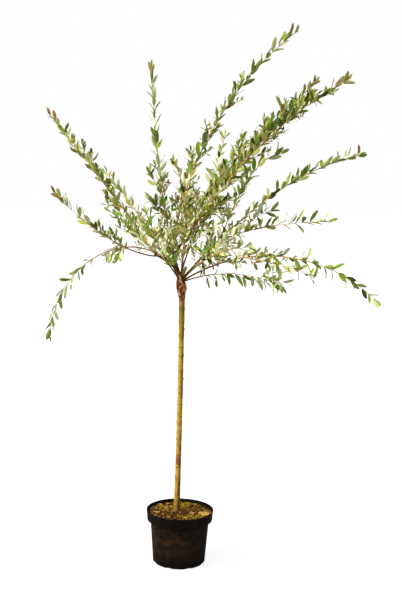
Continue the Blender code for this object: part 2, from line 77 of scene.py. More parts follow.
# %% [markdown]
# ## The camera
#
# The photograph was taken from about chest height and 3.6 m away, looking a little down. A camera
# could be aimed with a constraint, but a rotation built from its own right, up and back
# directions shows what each number does, and it also holds the small roll of the hand-held shot.

# %% Camera at the photograph's view
CAMERA_PLACE = Vector((0.0, -3.6, 1.41053))
CAMERA_DOWN = math.radians(7.0596)
CAMERA_RIGHTWARD = math.radians(0.8851)
CAMERA_ROLL = math.radians(1.5)
LENS = 62.71
SENSOR_WIDTH = 36
forward = Vector((
    math.sin(CAMERA_RIGHTWARD) * math.cos(CAMERA_DOWN),
    math.cos(CAMERA_RIGHTWARD) * math.cos(CAMERA_DOWN),
    -math.sin(CAMERA_DOWN),
))
level_right = forward.cross(Vector((0, 0, 1))).normalized()
level_up = level_right.cross(forward)
view_right = level_right * math.cos(CAMERA_ROLL) + level_up * math.sin(CAMERA_ROLL)
view_up = level_up * math.cos(CAMERA_ROLL) - level_right * math.sin(CAMERA_ROLL)
turned = Matrix((view_right, view_up, -forward)).transposed().to_4x4()
camera = bpy.data.objects.new("camera", bpy.data.cameras.new("camera"))
camera.data.lens = LENS
camera.data.sensor_width = SENSOR_WIDTH
camera.matrix_world = Matrix.Translation(CAMERA_PLACE) @ turned
bpy.context.scene.collection.objects.link(camera)
bpy.context.scene.camera = camera
print("camera at", tuple(camera.location), "with a", LENS, "mm lens")

# %% [markdown]
# ## Floor and light
#
# The plant was cut out on white. A plain pale floor with a little light of its own stays almost
# white even in the plant's shadow, as a lit studio sweep does. That glow is only seen, so it
# doesn't light the plant from below. A wide soft sun from the upper left gives the stem its
# bright side, and an even white sky fills the shade. The sky is seen brighter than it shines, so
# the background is pure white and the plant isn't washed out. A few small helpers come first,
# because every later piece needs them too.

# %% Helpers for objects, meshes, shader nodes and colours
def add_object(name, mesh):
    """Links a mesh into the scene as an object at the origin."""
    made = bpy.data.objects.new(name, mesh)
    bpy.context.scene.collection.objects.link(made)
    return made


def mesh_of(shape, name):
    """Turns a bmesh into a mesh, and frees the bmesh."""
    mesh = bpy.data.meshes.new(name)
    shape.to_mesh(mesh)
    shape.free()
    return mesh


def feed(tree, socket, value):
    """Links a node's output to a socket, or sets the socket to a plain value."""
    if isinstance(value, bpy.types.NodeSocket):
        tree.links.new(value, socket)
    else:
        socket.default_value = value


def put(tree, kind, options=None, **sockets):
    """Adds a shader node with its options, and feeds its sockets by name."""
    node = tree.nodes.new(kind)
    for name, value in (options or {}).items():
        setattr(node, name, value)
    for name, value in sockets.items():
        feed(tree, node.inputs[name.replace("_", " ")], value)
    return node


def colour(red, green, blue):
    """A screen colour from 0 to 255, as the linear values that Blender's sockets take."""
    parts = [value / 255 for value in (red, green, blue)]
    return (*[p / 12.92 if p < 0.04045 else ((p + 0.055) / 1.055) ** 2.4 for p in parts], 1.0)


print("a middle grey of 128 is", round(colour(128, 128, 128)[0], 3), "to a shader")

# %% Lay the floor
FLOOR_SIZE = 60.0
FLOOR_TONE = 0.32
FLOOR_GLOW = 0.78
floor_shape = bmesh.new()
bmesh.ops.create_grid(floor_shape, x_segments=1, y_segments=1, size=FLOOR_SIZE / 2)
floor = add_object("floor", mesh_of(floor_shape, "floor"))
floor_finish = bpy.data.materials.new("pale_floor")
floor_finish.use_nodes = True
floor_shader = floor_finish.node_tree.nodes["Principled BSDF"]
floor_shader.inputs["Base Color"].default_value = (FLOOR_TONE, FLOOR_TONE, FLOOR_TONE, 1)
floor_shader.inputs["Roughness"].default_value = 0.9
floor_shader.inputs["Specular IOR Level"].default_value = 0.0
floor_shader.inputs["Emission Strength"].default_value = FLOOR_GLOW
seen = put(floor_finish.node_tree, "ShaderNodeLightPath").outputs["Is Camera Ray"]
floor_finish.node_tree.links.new(seen, floor_shader.inputs["Emission Color"])
floor.data.materials.append(floor_finish)
print("the floor is", FLOOR_SIZE, "m wide")

# %% Sky and key light
SKY_STRENGTH = 0.80
KEY_STRENGTH = 3.3
KEY_SOFTNESS = math.radians(20)
KEY_DIRECTION = Vector((1.00, 0.42, -0.85))
sky = bpy.data.worlds.new("white_sky")
sky.use_nodes = True
sky_tree = sky.node_tree
sky_tree.nodes.clear()
sky_light = put(sky_tree, "ShaderNodeBackground", Color=(1, 1, 1, 1), Strength=SKY_STRENGTH)
sky_seen = put(sky_tree, "ShaderNodeBackground", Color=(1, 1, 1, 1), Strength=1.0)
ray = put(sky_tree, "ShaderNodeLightPath")
both = put(sky_tree, "ShaderNodeMixShader", Fac=ray.outputs["Is Camera Ray"])
sky_tree.links.new(sky_light.outputs[0], both.inputs[1])
sky_tree.links.new(sky_seen.outputs[0], both.inputs[2])
put(sky_tree, "ShaderNodeOutputWorld", Surface=both.outputs[0])
bpy.context.scene.world = sky

key = bpy.data.objects.new("key_light", bpy.data.lights.new("key_light", "SUN"))
key.data.energy = KEY_STRENGTH
key.data.angle = KEY_SOFTNESS
key.rotation_euler = KEY_DIRECTION.to_track_quat("-Z", "Y").to_euler()
bpy.context.scene.collection.objects.link(key)
bpy.context.scene.view_settings.view_transform = "Standard"
print("sky", SKY_STRENGTH, "and key light", KEY_STRENGTH)

# %% [markdown]
# ## Shared shader groups
#
# Bark, plastic and compost all need the same few effects: soft patches of a second colour, fine
# streaks that run one way, and a height that combines a coarse and a fine noise. Each is built
# once as a node group with named sockets, and every finish then sets its own values. The
# Principled shader and the plain values stay in the material, where an export can read them.

# %% Helpers for groups and their sums
FLOAT, VECTOR = "NodeSocketFloat", "NodeSocketVector"


def new_group(name, inputs, output):
    """An empty shader group with named inputs and one output, and both ends of it."""
    tree = bpy.data.node_groups.new(name, "ShaderNodeTree")
    for socket, kind, value in inputs:
        made = tree.interface.new_socket(socket, in_out="INPUT", socket_type=kind)
        if value is not None:
            made.default_value = value
    tree.interface.new_socket(output, in_out="OUTPUT", socket_type=FLOAT)
    given, result = tree.nodes.new("NodeGroupInput"), tree.nodes.new("NodeGroupOutput")
    return tree, given.outputs, result.inputs[output]


def between(tree, value, low, high, to_low=0.0, to_high=1.0):
    """Maps a value from one range to another, and holds it inside that."""
    node = put(tree, "ShaderNodeMapRange", Value=value, From_Min=low, From_Max=high,
               To_Min=to_low, To_Max=to_high)
    return node.outputs["Result"]


def arithmetic(tree, operation, first, second):
    """Joins two outputs by a sum of some kind."""
    node = put(tree, "ShaderNodeMath", {"operation": operation})
    for socket, value in zip(node.inputs, (first, second)):
        tree.links.new(value, socket)
    return node.outputs["Value"]


def times(tree, first, second):
    """One output times another."""
    return arithmetic(tree, "MULTIPLY", first, second)


def plus(tree, first, second):
    """One output plus another."""
    return arithmetic(tree, "ADD", first, second)


print("a group's sockets are of the kinds", FLOAT, "and", VECTOR)

# %% Build the groups
patches, given, mask = new_group(
    "patches",
    [("Vector", VECTOR, None), ("Scale", FLOAT, 10.0), ("From", FLOAT, 0.45), ("To", FLOAT, 0.6)],
    "Mask",
)
cloud = put(patches, "ShaderNodeTexNoise", Vector=given["Vector"], Scale=given["Scale"],
            Detail=4.0, Roughness=0.6)
patches.links.new(between(patches, cloud.outputs["Fac"], given["From"], given["To"]), mask)

streaks, given, mask = new_group(
    "streaks",
    [("Vector", VECTOR, None), ("Scale", FLOAT, 300.0), ("Stretch", VECTOR, (1.0, 1.0, 0.06)),
     ("From", FLOAT, 0.4), ("To", FLOAT, 0.65)],
    "Mask",
)
stretched = put(streaks, "ShaderNodeVectorMath", {"operation": "MULTIPLY"})
streaks.links.new(given["Vector"], stretched.inputs[0])
streaks.links.new(given["Stretch"], stretched.inputs[1])
grain = put(streaks, "ShaderNodeTexNoise", Vector=stretched.outputs["Vector"],
            Scale=given["Scale"], Detail=3.0, Roughness=0.55)
streaks.links.new(between(streaks, grain.outputs["Fac"], given["From"], given["To"]), mask)

relief, given, height = new_group(
    "relief",
    [("Vector", VECTOR, None), ("Coarse", FLOAT, 60.0), ("Fine", FLOAT, 500.0),
     ("Fine Share", FLOAT, 0.3)],
    "Height",
)
coarse = put(relief, "ShaderNodeTexNoise", Vector=given["Vector"], Scale=given["Coarse"],
             Detail=3.0)
fine = put(relief, "ShaderNodeTexNoise", Vector=given["Vector"], Scale=given["Fine"], Detail=2.0)
fine_part = times(relief, fine.outputs["Fac"], given["Fine Share"])
relief.links.new(plus(relief, coarse.outputs["Fac"], fine_part), height)
print("shader groups:", [tree.name for tree in (patches, streaks, relief)])


# %% Small helpers for every finish
def new_finish(name, **sockets):
    """A material whose Principled shader has some plain values, and its place coordinates."""
    finish = bpy.data.materials.new(name)
    finish.use_nodes = True
    tree = finish.node_tree
    shader = tree.nodes["Principled BSDF"]
    for socket, value in sockets.items():
        shader.inputs[socket.replace("_", " ")].default_value = value
    place = put(tree, "ShaderNodeTexCoord").outputs["Object"]
    return finish, tree, shader, place


def use_group(tree, group, place, **sockets):
    """Places a shader group in a material and gives its first output."""
    node = put(tree, "ShaderNodeGroup", {"node_tree": group}, Vector=place, **sockets)
    return node.outputs[0]


def blend(tree, factor, first, second, mode="MIX"):
    """Mixes two colours, each a plain colour or another node's output."""
    node = put(tree, "ShaderNodeMix", {"data_type": "RGBA", "blend_type": mode})
    for number, value in ((0, factor), (6, first), (7, second)):
        feed(tree, node.inputs[number], value)
    return node.outputs[2]


def ramp(tree, value, stops):
    """A colour ramp through (position, colour) stops."""
    node = put(tree, "ShaderNodeValToRGB", Fac=value)
    elements = node.color_ramp.elements
    while len(elements) < len(stops):
        elements.new(0.5)
    for element, (position, shade) in zip(elements, stops):
        element.position = position
        element.color = shade
    return node.outputs["Color"]


def roughen(tree, shader, mask, smooth, rough):
    """Lets a mask choose between two roughnesses."""
    tree.links.new(between(tree, mask, 0, 1, smooth, rough), shader.inputs["Roughness"])


def raise_surface(tree, shader, height, distance, strength=1.0):
    """Feeds a height through a Bump node to the shader's normal."""
    bump = put(tree, "ShaderNodeBump", Height=height, Distance=distance, Strength=strength)
    tree.links.new(bump.outputs["Normal"], shader.inputs["Normal"])


def finish_piece(piece, *, nodes):
    """Rides a finished piece on the plant's body, in place of the solids that it stands for."""
    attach(piece, BODY)
    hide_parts(*nodes)
    triangles = sum(len(face.vertices) - 2 for face in piece.data.polygons)
    print(piece.name, "has", triangles, "triangles")


print("finishes can use", len(bpy.data.node_groups), "groups")

# %% [markdown]
# ## The nursery pot
#
# The pot is one thin wall of black plastic, moulded as a tapered cup with a wide band under its
# rim and notches at its foot for water. It could be carved from a cylinder, but a turned profile
# is how such a pot is drawn: half its outline is spun about the upright axis. The sharp rings are
# then bevelled, because moulded plastic has no knife edges, and the notches are cut out last.

# %% The pot's measures
POT_HEIGHT = 0.192
RIM_RADIUS = 0.120
BASE_RADIUS = 0.0935
SHOULDER_RADIUS = 0.1045
RIM_BAND = 0.036
RIM_STEP = 0.010
BAND_TAPER = 0.003
WALL = 0.0022
BASE_PLATE = 0.003
RECESS_DEPTH = 0.0015
RECESS_SHARE = 0.80
STANDING_SHARE = 0.83
FOOT_CHAMFER = 0.004
LIP_HEIGHT = 0.0050
LIP_FOOT = 0.0058
LIP_OUT = 0.0012
RING_ROUNDING = 0.0008
POT_SIDES = 128
band_foot = POT_HEIGHT - RIM_BAND
step_foot = band_foot - RIM_STEP
band_radius = RIM_RADIUS - BAND_TAPER
inner_base = BASE_RADIUS + (SHOULDER_RADIUS - BASE_RADIUS) * BASE_PLATE / step_foot - WALL
print("the pot is", round(2 * RIM_RADIUS, 3), "m across its rim and", POT_HEIGHT, "m high")


# %% Turn the pot from its profile
def turn(profile, sides):
    """Spins (radius, height) points that run from axis to axis into a closed round shape."""
    shape = bmesh.new()
    points = [shape.verts.new((radius, 0, height)) for radius, height in profile]
    lines = [shape.edges.new(pair) for pair in zip(points, points[1:])]
    bmesh.ops.spin(shape, geom=points + lines, cent=(0, 0, 0), axis=(0, 0, 1),
                   angle=2 * math.pi, steps=sides, use_merge=True)
    bmesh.ops.remove_doubles(shape, verts=shape.verts, dist=1e-6)
    bmesh.ops.recalc_face_normals(shape, faces=shape.faces)
    return shape


def soften_rings(shape, offset, least_turn=0.3, off_axis=0.01):
    """Bevels the level rings where the outline turns a corner."""
    corners = [
        edge for edge in shape.edges
        if edge.is_manifold
        and abs(edge.verts[0].co.z - edge.verts[1].co.z) < 1e-6
        and edge.calc_face_angle() > least_turn
        and edge.verts[0].co.xy.length > off_axis
    ]
    bmesh.ops.bevel(shape, geom=corners, offset=offset, affect="EDGES", segments=3,
                    profile=0.5, material=-1)


pot_profile = [
    (0, RECESS_DEPTH),
    (BASE_RADIUS * RECESS_SHARE, RECESS_DEPTH),
    (BASE_RADIUS * STANDING_SHARE, 0),
    (BASE_RADIUS - FOOT_CHAMFER, 0),
    (BASE_RADIUS, FOOT_CHAMFER),
    (SHOULDER_RADIUS, step_foot),
    (band_radius, band_foot),
    (RIM_RADIUS - LIP_OUT, POT_HEIGHT - LIP_FOOT),
    (RIM_RADIUS, POT_HEIGHT - LIP_HEIGHT),
    (RIM_RADIUS, POT_HEIGHT),
    (RIM_RADIUS - WALL, POT_HEIGHT),
    (band_radius - WALL, band_foot),
    (SHOULDER_RADIUS - WALL, step_foot),
    (inner_base, BASE_PLATE),
    (0, BASE_PLATE),
]
pot_shape = turn(pot_profile, POT_SIDES)
soften_rings(pot_shape, RING_ROUNDING)
pot = add_object("pot_shell", mesh_of(pot_shape, "pot_shell"))
print("the turned pot has", len(pot.data.polygons), "faces")


# %% Cut the drain notches
DRAIN_COUNT = 8
DRAIN_SIZE = (0.016, 0.020, 0.015)
DRAIN_ROUNDING = 0.0025
POT_CREASE = math.radians(50)


def swap_in_modified_mesh(piece):
    """Applies a piece's modifiers by taking the mesh that they make."""
    bpy.context.view_layer.update()
    made = bpy.data.meshes.new_from_object(
        piece.evaluated_get(bpy.context.evaluated_depsgraph_get())
    )
    piece.modifiers.clear()
    piece.data = made


notches = bmesh.new()
for index in range(DRAIN_COUNT):
    angle = 2 * math.pi * (index + 0.5) / DRAIN_COUNT
    before = set(notches.verts)
    bmesh.ops.create_cube(notches, size=1)
    block = [vertex for vertex in notches.verts if vertex not in before]
    place = Matrix.Rotation(angle, 4, "Z") @ Matrix.Translation((BASE_RADIUS, 0, 0))
    bmesh.ops.transform(notches, matrix=place @ Matrix.Diagonal((*DRAIN_SIZE, 1)), verts=block)
bmesh.ops.bevel(notches, geom=notches.edges, offset=DRAIN_ROUNDING, affect="EDGES",
                segments=3, profile=0.5, material=-1)
cutter = add_object("notch_cutter", mesh_of(notches, "notch_cutter"))
carve = pot.modifiers.new("notches", "BOOLEAN")
carve.operation = "DIFFERENCE"
carve.solver = "EXACT"
carve.object = cutter
swap_in_modified_mesh(pot)
bpy.data.objects.remove(cutter)
pot.data.shade_smooth()
pot.data.set_sharp_from_angle(angle=POT_CREASE)
print("cut", DRAIN_COUNT, "notches at the foot")

# %% [markdown]
# ## Black plastic with dried soil on it
#
# The real pot isn't evenly black. Watering has left a brown film on the body, thickest half way
# up and to the left, with faint runs, dark blots and pale specks in it, and the rim is cleaner.
# A film could be painted on, but masks do it: broad patches for the film, tall thin streaks for
# the runs, and smaller patches for the blots and specks. Where the film lies the plastic is also
# duller.

# %% Finish the pot
plastic, tree, shader, place = new_finish(
    "black_plastic", Metallic=0.0, Specular_IOR_Level=0.07,
)
film = use_group(tree, patches, place, Scale=17.0, From=0.30, To=0.58)
runs = use_group(tree, streaks, place, Scale=60.0, Stretch=(1.0, 1.0, 0.10), From=0.42, To=0.62)
blots = use_group(tree, patches, place, Scale=40.0, From=0.48, To=0.60)
specks = use_group(tree, patches, place, Scale=420.0, From=0.66, To=0.74)
split = put(tree, "ShaderNodeSeparateXYZ", Vector=place)
over_pot = between(tree, split.outputs["Z"], 0, POT_HEIGHT)
# The film is thicker towards the left.
film_to_left = between(tree, split.outputs["X"], 0.10, -0.03, 0.55, 1.0)
film_belt = ramp(tree, over_pot, [
    (0.10, colour(10, 10, 10)), (0.26, colour(190, 190, 190)), (0.50, colour(240, 240, 240)),
    (0.74, colour(200, 200, 200)), (0.80, colour(60, 60, 60)),
])
black = blend(tree, runs, colour(11, 9, 6), colour(19, 15, 9))
filmed = times(tree, times(tree, film, film_belt), film_to_left)
soiled = blend(tree, filmed, black, colour(60, 40, 21))
soiled = blend(tree, blots, soiled, blend(tree, 0.7, soiled, colour(10, 8, 6)))
speckled = blend(tree, specks, soiled, colour(56, 44, 26))
tree.links.new(speckled, shader.inputs["Base Color"])
roughen(tree, shader, film, 0.5, 0.75)
height = use_group(tree, relief, place, Coarse=35.0, Fine=900.0, Fine_Share=0.25)
raise_surface(tree, shader, height, 0.0006, 0.5)
pot.data.materials.clear()
pot.data.materials.append(plastic)
finish_piece(pot, nodes=["pot"])

# %% [markdown]
# ## The compost
#
# Under the plant lies dark bark compost, a little below the rim and slightly mounded in the
# middle. Its body is turned like the pot. A flat top would look like paint, so its rings are
# close together and a layered noise lifts and lowers each point of it into crumbs. Close to the
# pot's wall the crumbs are lower, so that the edge stays neat against the plastic.

# %% Turn the compost and crumble its top
COMPOST_DROP = 0.013
COMPOST_MOUND = 0.006
COMPOST_GAP = 0.0008
FLOOR_GAP = 0.0003
SIDE_GAP = WALL + COMPOST_GAP
EDGE_DROP = 0.003
TOP_SKIN = 0.001
CALM_EDGE = 0.006
LEAST_CRUMBS = 0.15
TOP_RINGS = 84
COMPOST_SIDES = 256
compost_top = POT_HEIGHT - COMPOST_DROP
compost_foot = BASE_PLATE + FLOOR_GAP
compost_rim = band_radius + BAND_TAPER * (compost_top - band_foot) / RIM_BAND - SIDE_GAP


def mound(radius):
    """The height of the compost's top at a distance from the pot's middle."""
    share = min(1.0, radius / compost_rim)
    return compost_top + COMPOST_MOUND * (1 - share) ** 0.8


def crumbs(x, y):
    """Lumps and hollows of the compost's top, in metres."""
    lump = noise.noise(Vector((x * 55, y * 55, 3.0)))
    crumb = noise.noise(Vector((x * 170, y * 170, 7.0)))
    grit = noise.noise(Vector((x * 420, y * 420, 11.0)))
    return 0.0022 * lump + 0.0028 * crumb + 0.0014 * grit


compost_profile = [
    (0, compost_foot),
    (inner_base - COMPOST_GAP, compost_foot),
    (SHOULDER_RADIUS - SIDE_GAP, step_foot),
    (band_radius - SIDE_GAP, band_foot),
    (compost_rim, compost_top - EDGE_DROP),
]
for ring in range(TOP_RINGS):
    radius = compost_rim * (1 - ring / TOP_RINGS)
    compost_profile.append((radius, mound(radius)))
compost_profile.append((0, mound(0)))
compost_shape = turn(compost_profile, COMPOST_SIDES)
for vertex in compost_shape.verts:
    if vertex.co.z > compost_top - TOP_SKIN:
        edge_share = min(1.0, (compost_rim - vertex.co.xy.length) / CALM_EDGE)
        vertex.co.z += crumbs(vertex.co.x, vertex.co.y) * max(LEAST_CRUMBS, edge_share)
compost = add_object("compost_bed", mesh_of(compost_shape, "compost_bed"))
compost.data.shade_smooth()
compost_spots = [vertex.co.copy() for vertex in compost.data.vertices]
print("compost top at", round(compost_top, 4), "m")

# %% [markdown]
# Two values are stored on the compost's points: how high each crumb stands, so that shade can be
# painted into the gaps between crumbs, and how mossy the place is, so that moss has olive ground
# under it.
# The photograph shows more moss towards the back and the right, so the noise leans that way.

# %% Store two values on the compost
CRUMB_REACH = 0.0060


def mossy(x, y):
    """How mossy a place on the compost is: above zero it is moss."""
    broad = noise.noise(Vector((x * 26 + 5.2, y * 26 - 1.7, 0.4)))
    broad += 0.7 * noise.noise(Vector((x * 80 + 1.2, y * 80 - 3.7, 2.4)))
    toward_back = 0.9 * y / compost_rim + 0.55 * x / compost_rim
    return broad + 0.22 * toward_back


def keep_values(piece, name, values):
    """Stores one value for each point of a piece, kept between 0 and 1."""
    layer = piece.data.attributes.new(name, "FLOAT", "POINT")
    layer.data.foreach_set("value", np.clip(values, 0, 1).astype(np.float32))


def kept_value(tree, name):
    """Reads a stored value in a material."""
    return put(tree, "ShaderNodeAttribute", {"attribute_name": name}).outputs["Fac"]


stand_of = [0.5 + crumbs(spot.x, spot.y) / CRUMB_REACH for spot in compost_spots]
moss_of = [0.3 + 2.5 * mossy(spot.x, spot.y) for spot in compost_spots]
keep_values(compost, "stand", stand_of)
keep_values(compost, "moss", moss_of)
print("crumbs stand from", round(min(stand_of), 2), "to", round(max(stand_of), 2))

# %% Finish the compost
soil, tree, shader, place = new_finish("bark_compost", Roughness=0.95, Specular_IOR_Level=0.05)
damp = use_group(tree, patches, place, Scale=38.0, From=0.40, To=0.62)
fibre = use_group(tree, patches, place, Scale=260.0, From=0.48, To=0.60)
base = blend(tree, damp, colour(38, 24, 6), colour(86, 58, 16))
base = blend(tree, fibre, base, colour(142, 100, 32))
base = blend(tree, kept_value(tree, "moss"), base, colour(78, 64, 8))
# Painted shade: the low gaps between crumbs are darkened, nearly to black in the deepest.
painted_gap_shade = ramp(tree, kept_value(tree, "stand"), [
    (0.36, colour(20, 14, 5)), (0.54, colour(150, 134, 104)), (0.76, colour(255, 255, 250)),
])
tree.links.new(blend(tree, 1.0, base, painted_gap_shade, "MULTIPLY"), shader.inputs["Base Color"])
height = use_group(tree, relief, place, Coarse=160.0, Fine=900.0, Fine_Share=0.5)
raise_surface(tree, shader, height, 0.0015, 0.9)
compost.data.materials.append(soil)
finish_piece(compost, nodes=["compost"])

# %% [markdown]
# ## Joining many small things
#
# Chips, moss, twigs and leaves number in the thousands. Instances would be lost in the export,
# so each kind is one mesh, joined from copies of a few small templates. A template is shaped
# with bmesh, and its copies are placed by matrices in numpy, which takes a moment for thousands.

# %% Templates and joined pieces
CREASE = 40
Template = namedtuple("Template", "points faces slots")


def template_of(shape):
    """The points, faces and material slots of a small bmesh, which is then freed."""
    shape.verts.index_update()
    points = np.array([vertex.co[:] for vertex in shape.verts])
    faces = [[vertex.index for vertex in face.verts] for face in shape.faces]
    slots = [face.material_index for face in shape.faces]
    shape.free()
    return Template(points, faces, slots)


class Joined:
    """Gathers copies of templates, and joins them into one piece."""

    def __init__(self, name):
        self.name = name
        self.points, self.faces, self.slots, self.count = [], [], [], 0

    def add(self, template, points):
        """Adds a copy of a template whose points were already put in their places."""
        base = self.count
        self.points.append(points)
        self.faces += [[base + index for index in face] for face in template.faces]
        self.slots += template.slots
        self.count += len(points)

    def build(self, finishes, crease=CREASE):
        """Makes the piece, with its finishes in the order of its slots."""
        mesh = bpy.data.meshes.new(self.name)
        mesh.from_pydata(np.vstack(self.points).tolist(), [], self.faces)
        mesh.polygons.foreach_set("material_index", np.array(self.slots, dtype=np.int32))
        mesh.shade_smooth()
        mesh.set_sharp_from_angle(angle=math.radians(crease))
        piece = add_object(self.name, mesh)
        for finish in finishes:
            mesh.materials.append(finish)
        return piece


def turned_copy(template, matrix):
    """A template's points, put in place by a matrix."""
    array = np.array(matrix)
    return template.points @ array[:3, :3].T + array[:3, 3]


print("joined pieces are creased at", CREASE, "degrees or more")

# %% [markdown]
# ## Bark chips, pale flakes and moss
#
# The photograph shows brown bark chips, a few pale flakes and cushions of golden-green moss on
# the compost. A chip is a box whose edges are cut off and whose corners are pushed out of true.
# Moss is a crowd of tiny leaning cones. A noise over the surface decides where moss has settled,
# and chips take the ground between. Each sits partly sunk in the surface, as if watered in.

# %% Shape a chip and a tuft
CHIP_CUT = 0.16
CHIP_JOLT = 0.10
CHIP_VARIANTS = 6


def chip_template(seed):
    """A flat, broken bark chip of unit size."""
    chance = random.Random(seed)
    shape = bmesh.new()
    bmesh.ops.create_cube(shape, size=1)
    bmesh.ops.bevel(shape, geom=shape.edges, offset=CHIP_CUT, affect="EDGES", segments=1,
                    profile=0.5, material=-1)
    for vertex in shape.verts:
        vertex.co += Vector([chance.uniform(-CHIP_JOLT, CHIP_JOLT) for _ in range(3)])
    return template_of(shape)


def moss_template():
    """One tuft of moss: a slim four-sided cone."""
    shape = bmesh.new()
    bmesh.ops.create_cone(shape, cap_ends=True, segments=4, radius1=0.5, radius2=0.12, depth=1)
    return template_of(shape)


chips = [chip_template(seed) for seed in range(CHIP_VARIANTS)]
tuft = moss_template()
print("a chip has", len(chips[0].faces), "faces and a tuft", len(tuft.faces))

# %% Scatter the chips on the compost
CHIP_COUNT = 1500
CHIP_LENGTHS = (0.003, 0.012)
CHIP_RAISE = 0.0006
FLAKE_RAISE = 0.0018
MOSS_GROUND = 0.12
LOST_IN_MOSS = 0.8
PALE_SHARE = 0.11
STEM_FOOT_X = -0.0115
STEM_CLEAR = 0.016
PALE_FLAKES = [
    (0.084, -0.020, 0.040, 0.034, 16), (-0.086, -0.012, 0.026, 0.014, 4),
    (0.012, -0.066, 0.014, 0.008, 1), (-0.042, -0.058, 0.018, 0.012, 2),
    (-0.074, 0.078, 0.014, 0.008, 1), (0.070, 0.062, 0.012, 0.007, 1),
]


def surface_point(chance, reach=0.96):
    """A random place on the compost's top, clear of the stem."""
    while True:
        angle = chance.uniform(0, 2 * math.pi)
        radius = compost_rim * reach * math.sqrt(chance.random())
        x, y = radius * math.cos(angle), radius * math.sin(angle)
        if math.hypot(x - STEM_FOOT_X, y) > STEM_CLEAR:
            return Vector((x, y, mound(radius) + crumbs(x, y)))


def facing(chance, lean):
    """A random way to face, with a lean of up to an angle."""
    leaning = Matrix.Rotation(chance.uniform(-lean, lean), 4, "X")
    return Matrix.Rotation(chance.uniform(0, math.tau), 4, "Z") @ leaning


chance = random.Random(41)
bark_chips, pale_chips = Joined("bark_chips"), Joined("pale_chips")
for _ in range(CHIP_COUNT):
    spot = surface_point(chance)
    if mossy(spot.x, spot.y) > MOSS_GROUND and chance.random() < LOST_IN_MOSS:
        continue
    length = chance.uniform(*CHIP_LENGTHS)
    size = (length, length * chance.uniform(0.35, 0.7), length * chance.uniform(0.16, 0.3))
    way = facing(chance, 0.35)
    raised = spot + Vector((0, 0, CHIP_RAISE))
    matrix = Matrix.Translation(raised) @ way @ Matrix.Diagonal((*size, 1))
    pile = pale_chips if chance.random() < PALE_SHARE else bark_chips
    chip = chance.choice(chips)
    pile.add(chip, turned_copy(chip, matrix))
for x, y, length, wide, count in PALE_FLAKES:
    for _ in range(count):
        near_x = x + chance.uniform(-0.3, 0.3) * length * (count > 1)
        near_y = y + chance.uniform(-0.3, 0.3) * wide * (count > 1)
        level = mound(math.hypot(near_x, near_y)) + crumbs(near_x, near_y) + FLAKE_RAISE
        matrix = Matrix.Translation((near_x, near_y, level))
        matrix = matrix @ Matrix.Rotation(chance.uniform(-0.5, 0.5), 4, "Z")
        matrix = matrix @ Matrix.Rotation(chance.uniform(-0.2, 0.2), 4, "Y")
        shrink = 1.0 if count == 1 else chance.uniform(0.30, 0.60)
        matrix = matrix @ Matrix.Diagonal((length * shrink, wide * shrink, length * 0.12, 1))
        pale_chips.add(chips[2], turned_copy(chips[2], matrix))
print(len(bark_chips.points), "bark chips and", len(pale_chips.points), "pale ones")

# %% Grow the moss
MOSS_COUNT = 7500
MOSS_REACH = 0.975
TUFT_HEIGHTS = (0.0020, 0.0046)
TUFT_WIDTH = 0.0016
moss = Joined("moss")
for _ in range(MOSS_COUNT):
    spot = surface_point(chance, MOSS_REACH)
    depth = mossy(spot.x, spot.y)
    if depth < 0:
        continue
    tall = chance.uniform(*TUFT_HEIGHTS) * min(1.0, 0.6 + depth * 2)
    way = facing(chance, 0.7)
    matrix = Matrix.Translation(spot) @ way @ Matrix.Translation((0, 0, tall * 0.35))
    matrix = matrix @ Matrix.Diagonal((TUFT_WIDTH, TUFT_WIDTH, tall, 1))
    moss.add(tuft, turned_copy(tuft, matrix))
print(len(moss.points), "tufts of moss")

# %% Finish the litter
bark_chip, tree, shader, place = new_finish("bark_chip", Roughness=0.9, Specular_IOR_Level=0.06)
tone = use_group(tree, patches, place, Scale=90.0, From=0.38, To=0.62)
fine_tone = use_group(tree, streaks, place, Scale=700.0, Stretch=(1.0, 0.3, 1.0), From=0.4, To=0.6)
base = blend(tree, tone, colour(30, 17, 4), colour(112, 68, 22))
tree.links.new(blend(tree, fine_tone, base, colour(66, 40, 12)), shader.inputs["Base Color"])
height = use_group(tree, relief, place, Coarse=300.0, Fine=1200.0, Fine_Share=0.4)
raise_surface(tree, shader, height, 0.0006, 0.8)

pale_chip, tree, shader, place = new_finish("pale_chip", Roughness=0.85, Specular_IOR_Level=0.10)
tone = use_group(tree, patches, place, Scale=110.0, From=0.42, To=0.6)
tree.links.new(blend(tree, tone, colour(216, 176, 100), colour(170, 124, 48)),
               shader.inputs["Base Color"])
height = use_group(tree, relief, place, Coarse=260.0, Fine=1200.0, Fine_Share=0.4)
raise_surface(tree, shader, height, 0.0004, 0.6)

moss_finish, tree, shader, place = new_finish("moss", Roughness=0.95, Specular_IOR_Level=0.04)
tone = use_group(tree, patches, place, Scale=110.0, From=0.42, To=0.58)
tips = use_group(tree, patches, place, Scale=320.0, From=0.48, To=0.56)
base = blend(tree, tone, colour(62, 50, 4), colour(164, 130, 20))
tree.links.new(blend(tree, tips, base, colour(222, 192, 66)), shader.inputs["Base Color"])

for litter, finish in ((bark_chips, bark_chip), (pale_chips, pale_chip), (moss, moss_finish)):
    finish_piece(litter.build([finish]), nodes=["compost"])

# %% [markdown]
# ## How the plant grows
#
# Every shoot follows the same rule as the plant's solids. It leaves its parent in one direction
# of the compass and at one rise, and the rise turns into the tip's, early or late by its bend. So
# the finished shoots lie exactly on the solids. The lower bare part is a bough, and the rest
# carries leaves. Angles are in degrees, and lengths, here and below, are in metres.

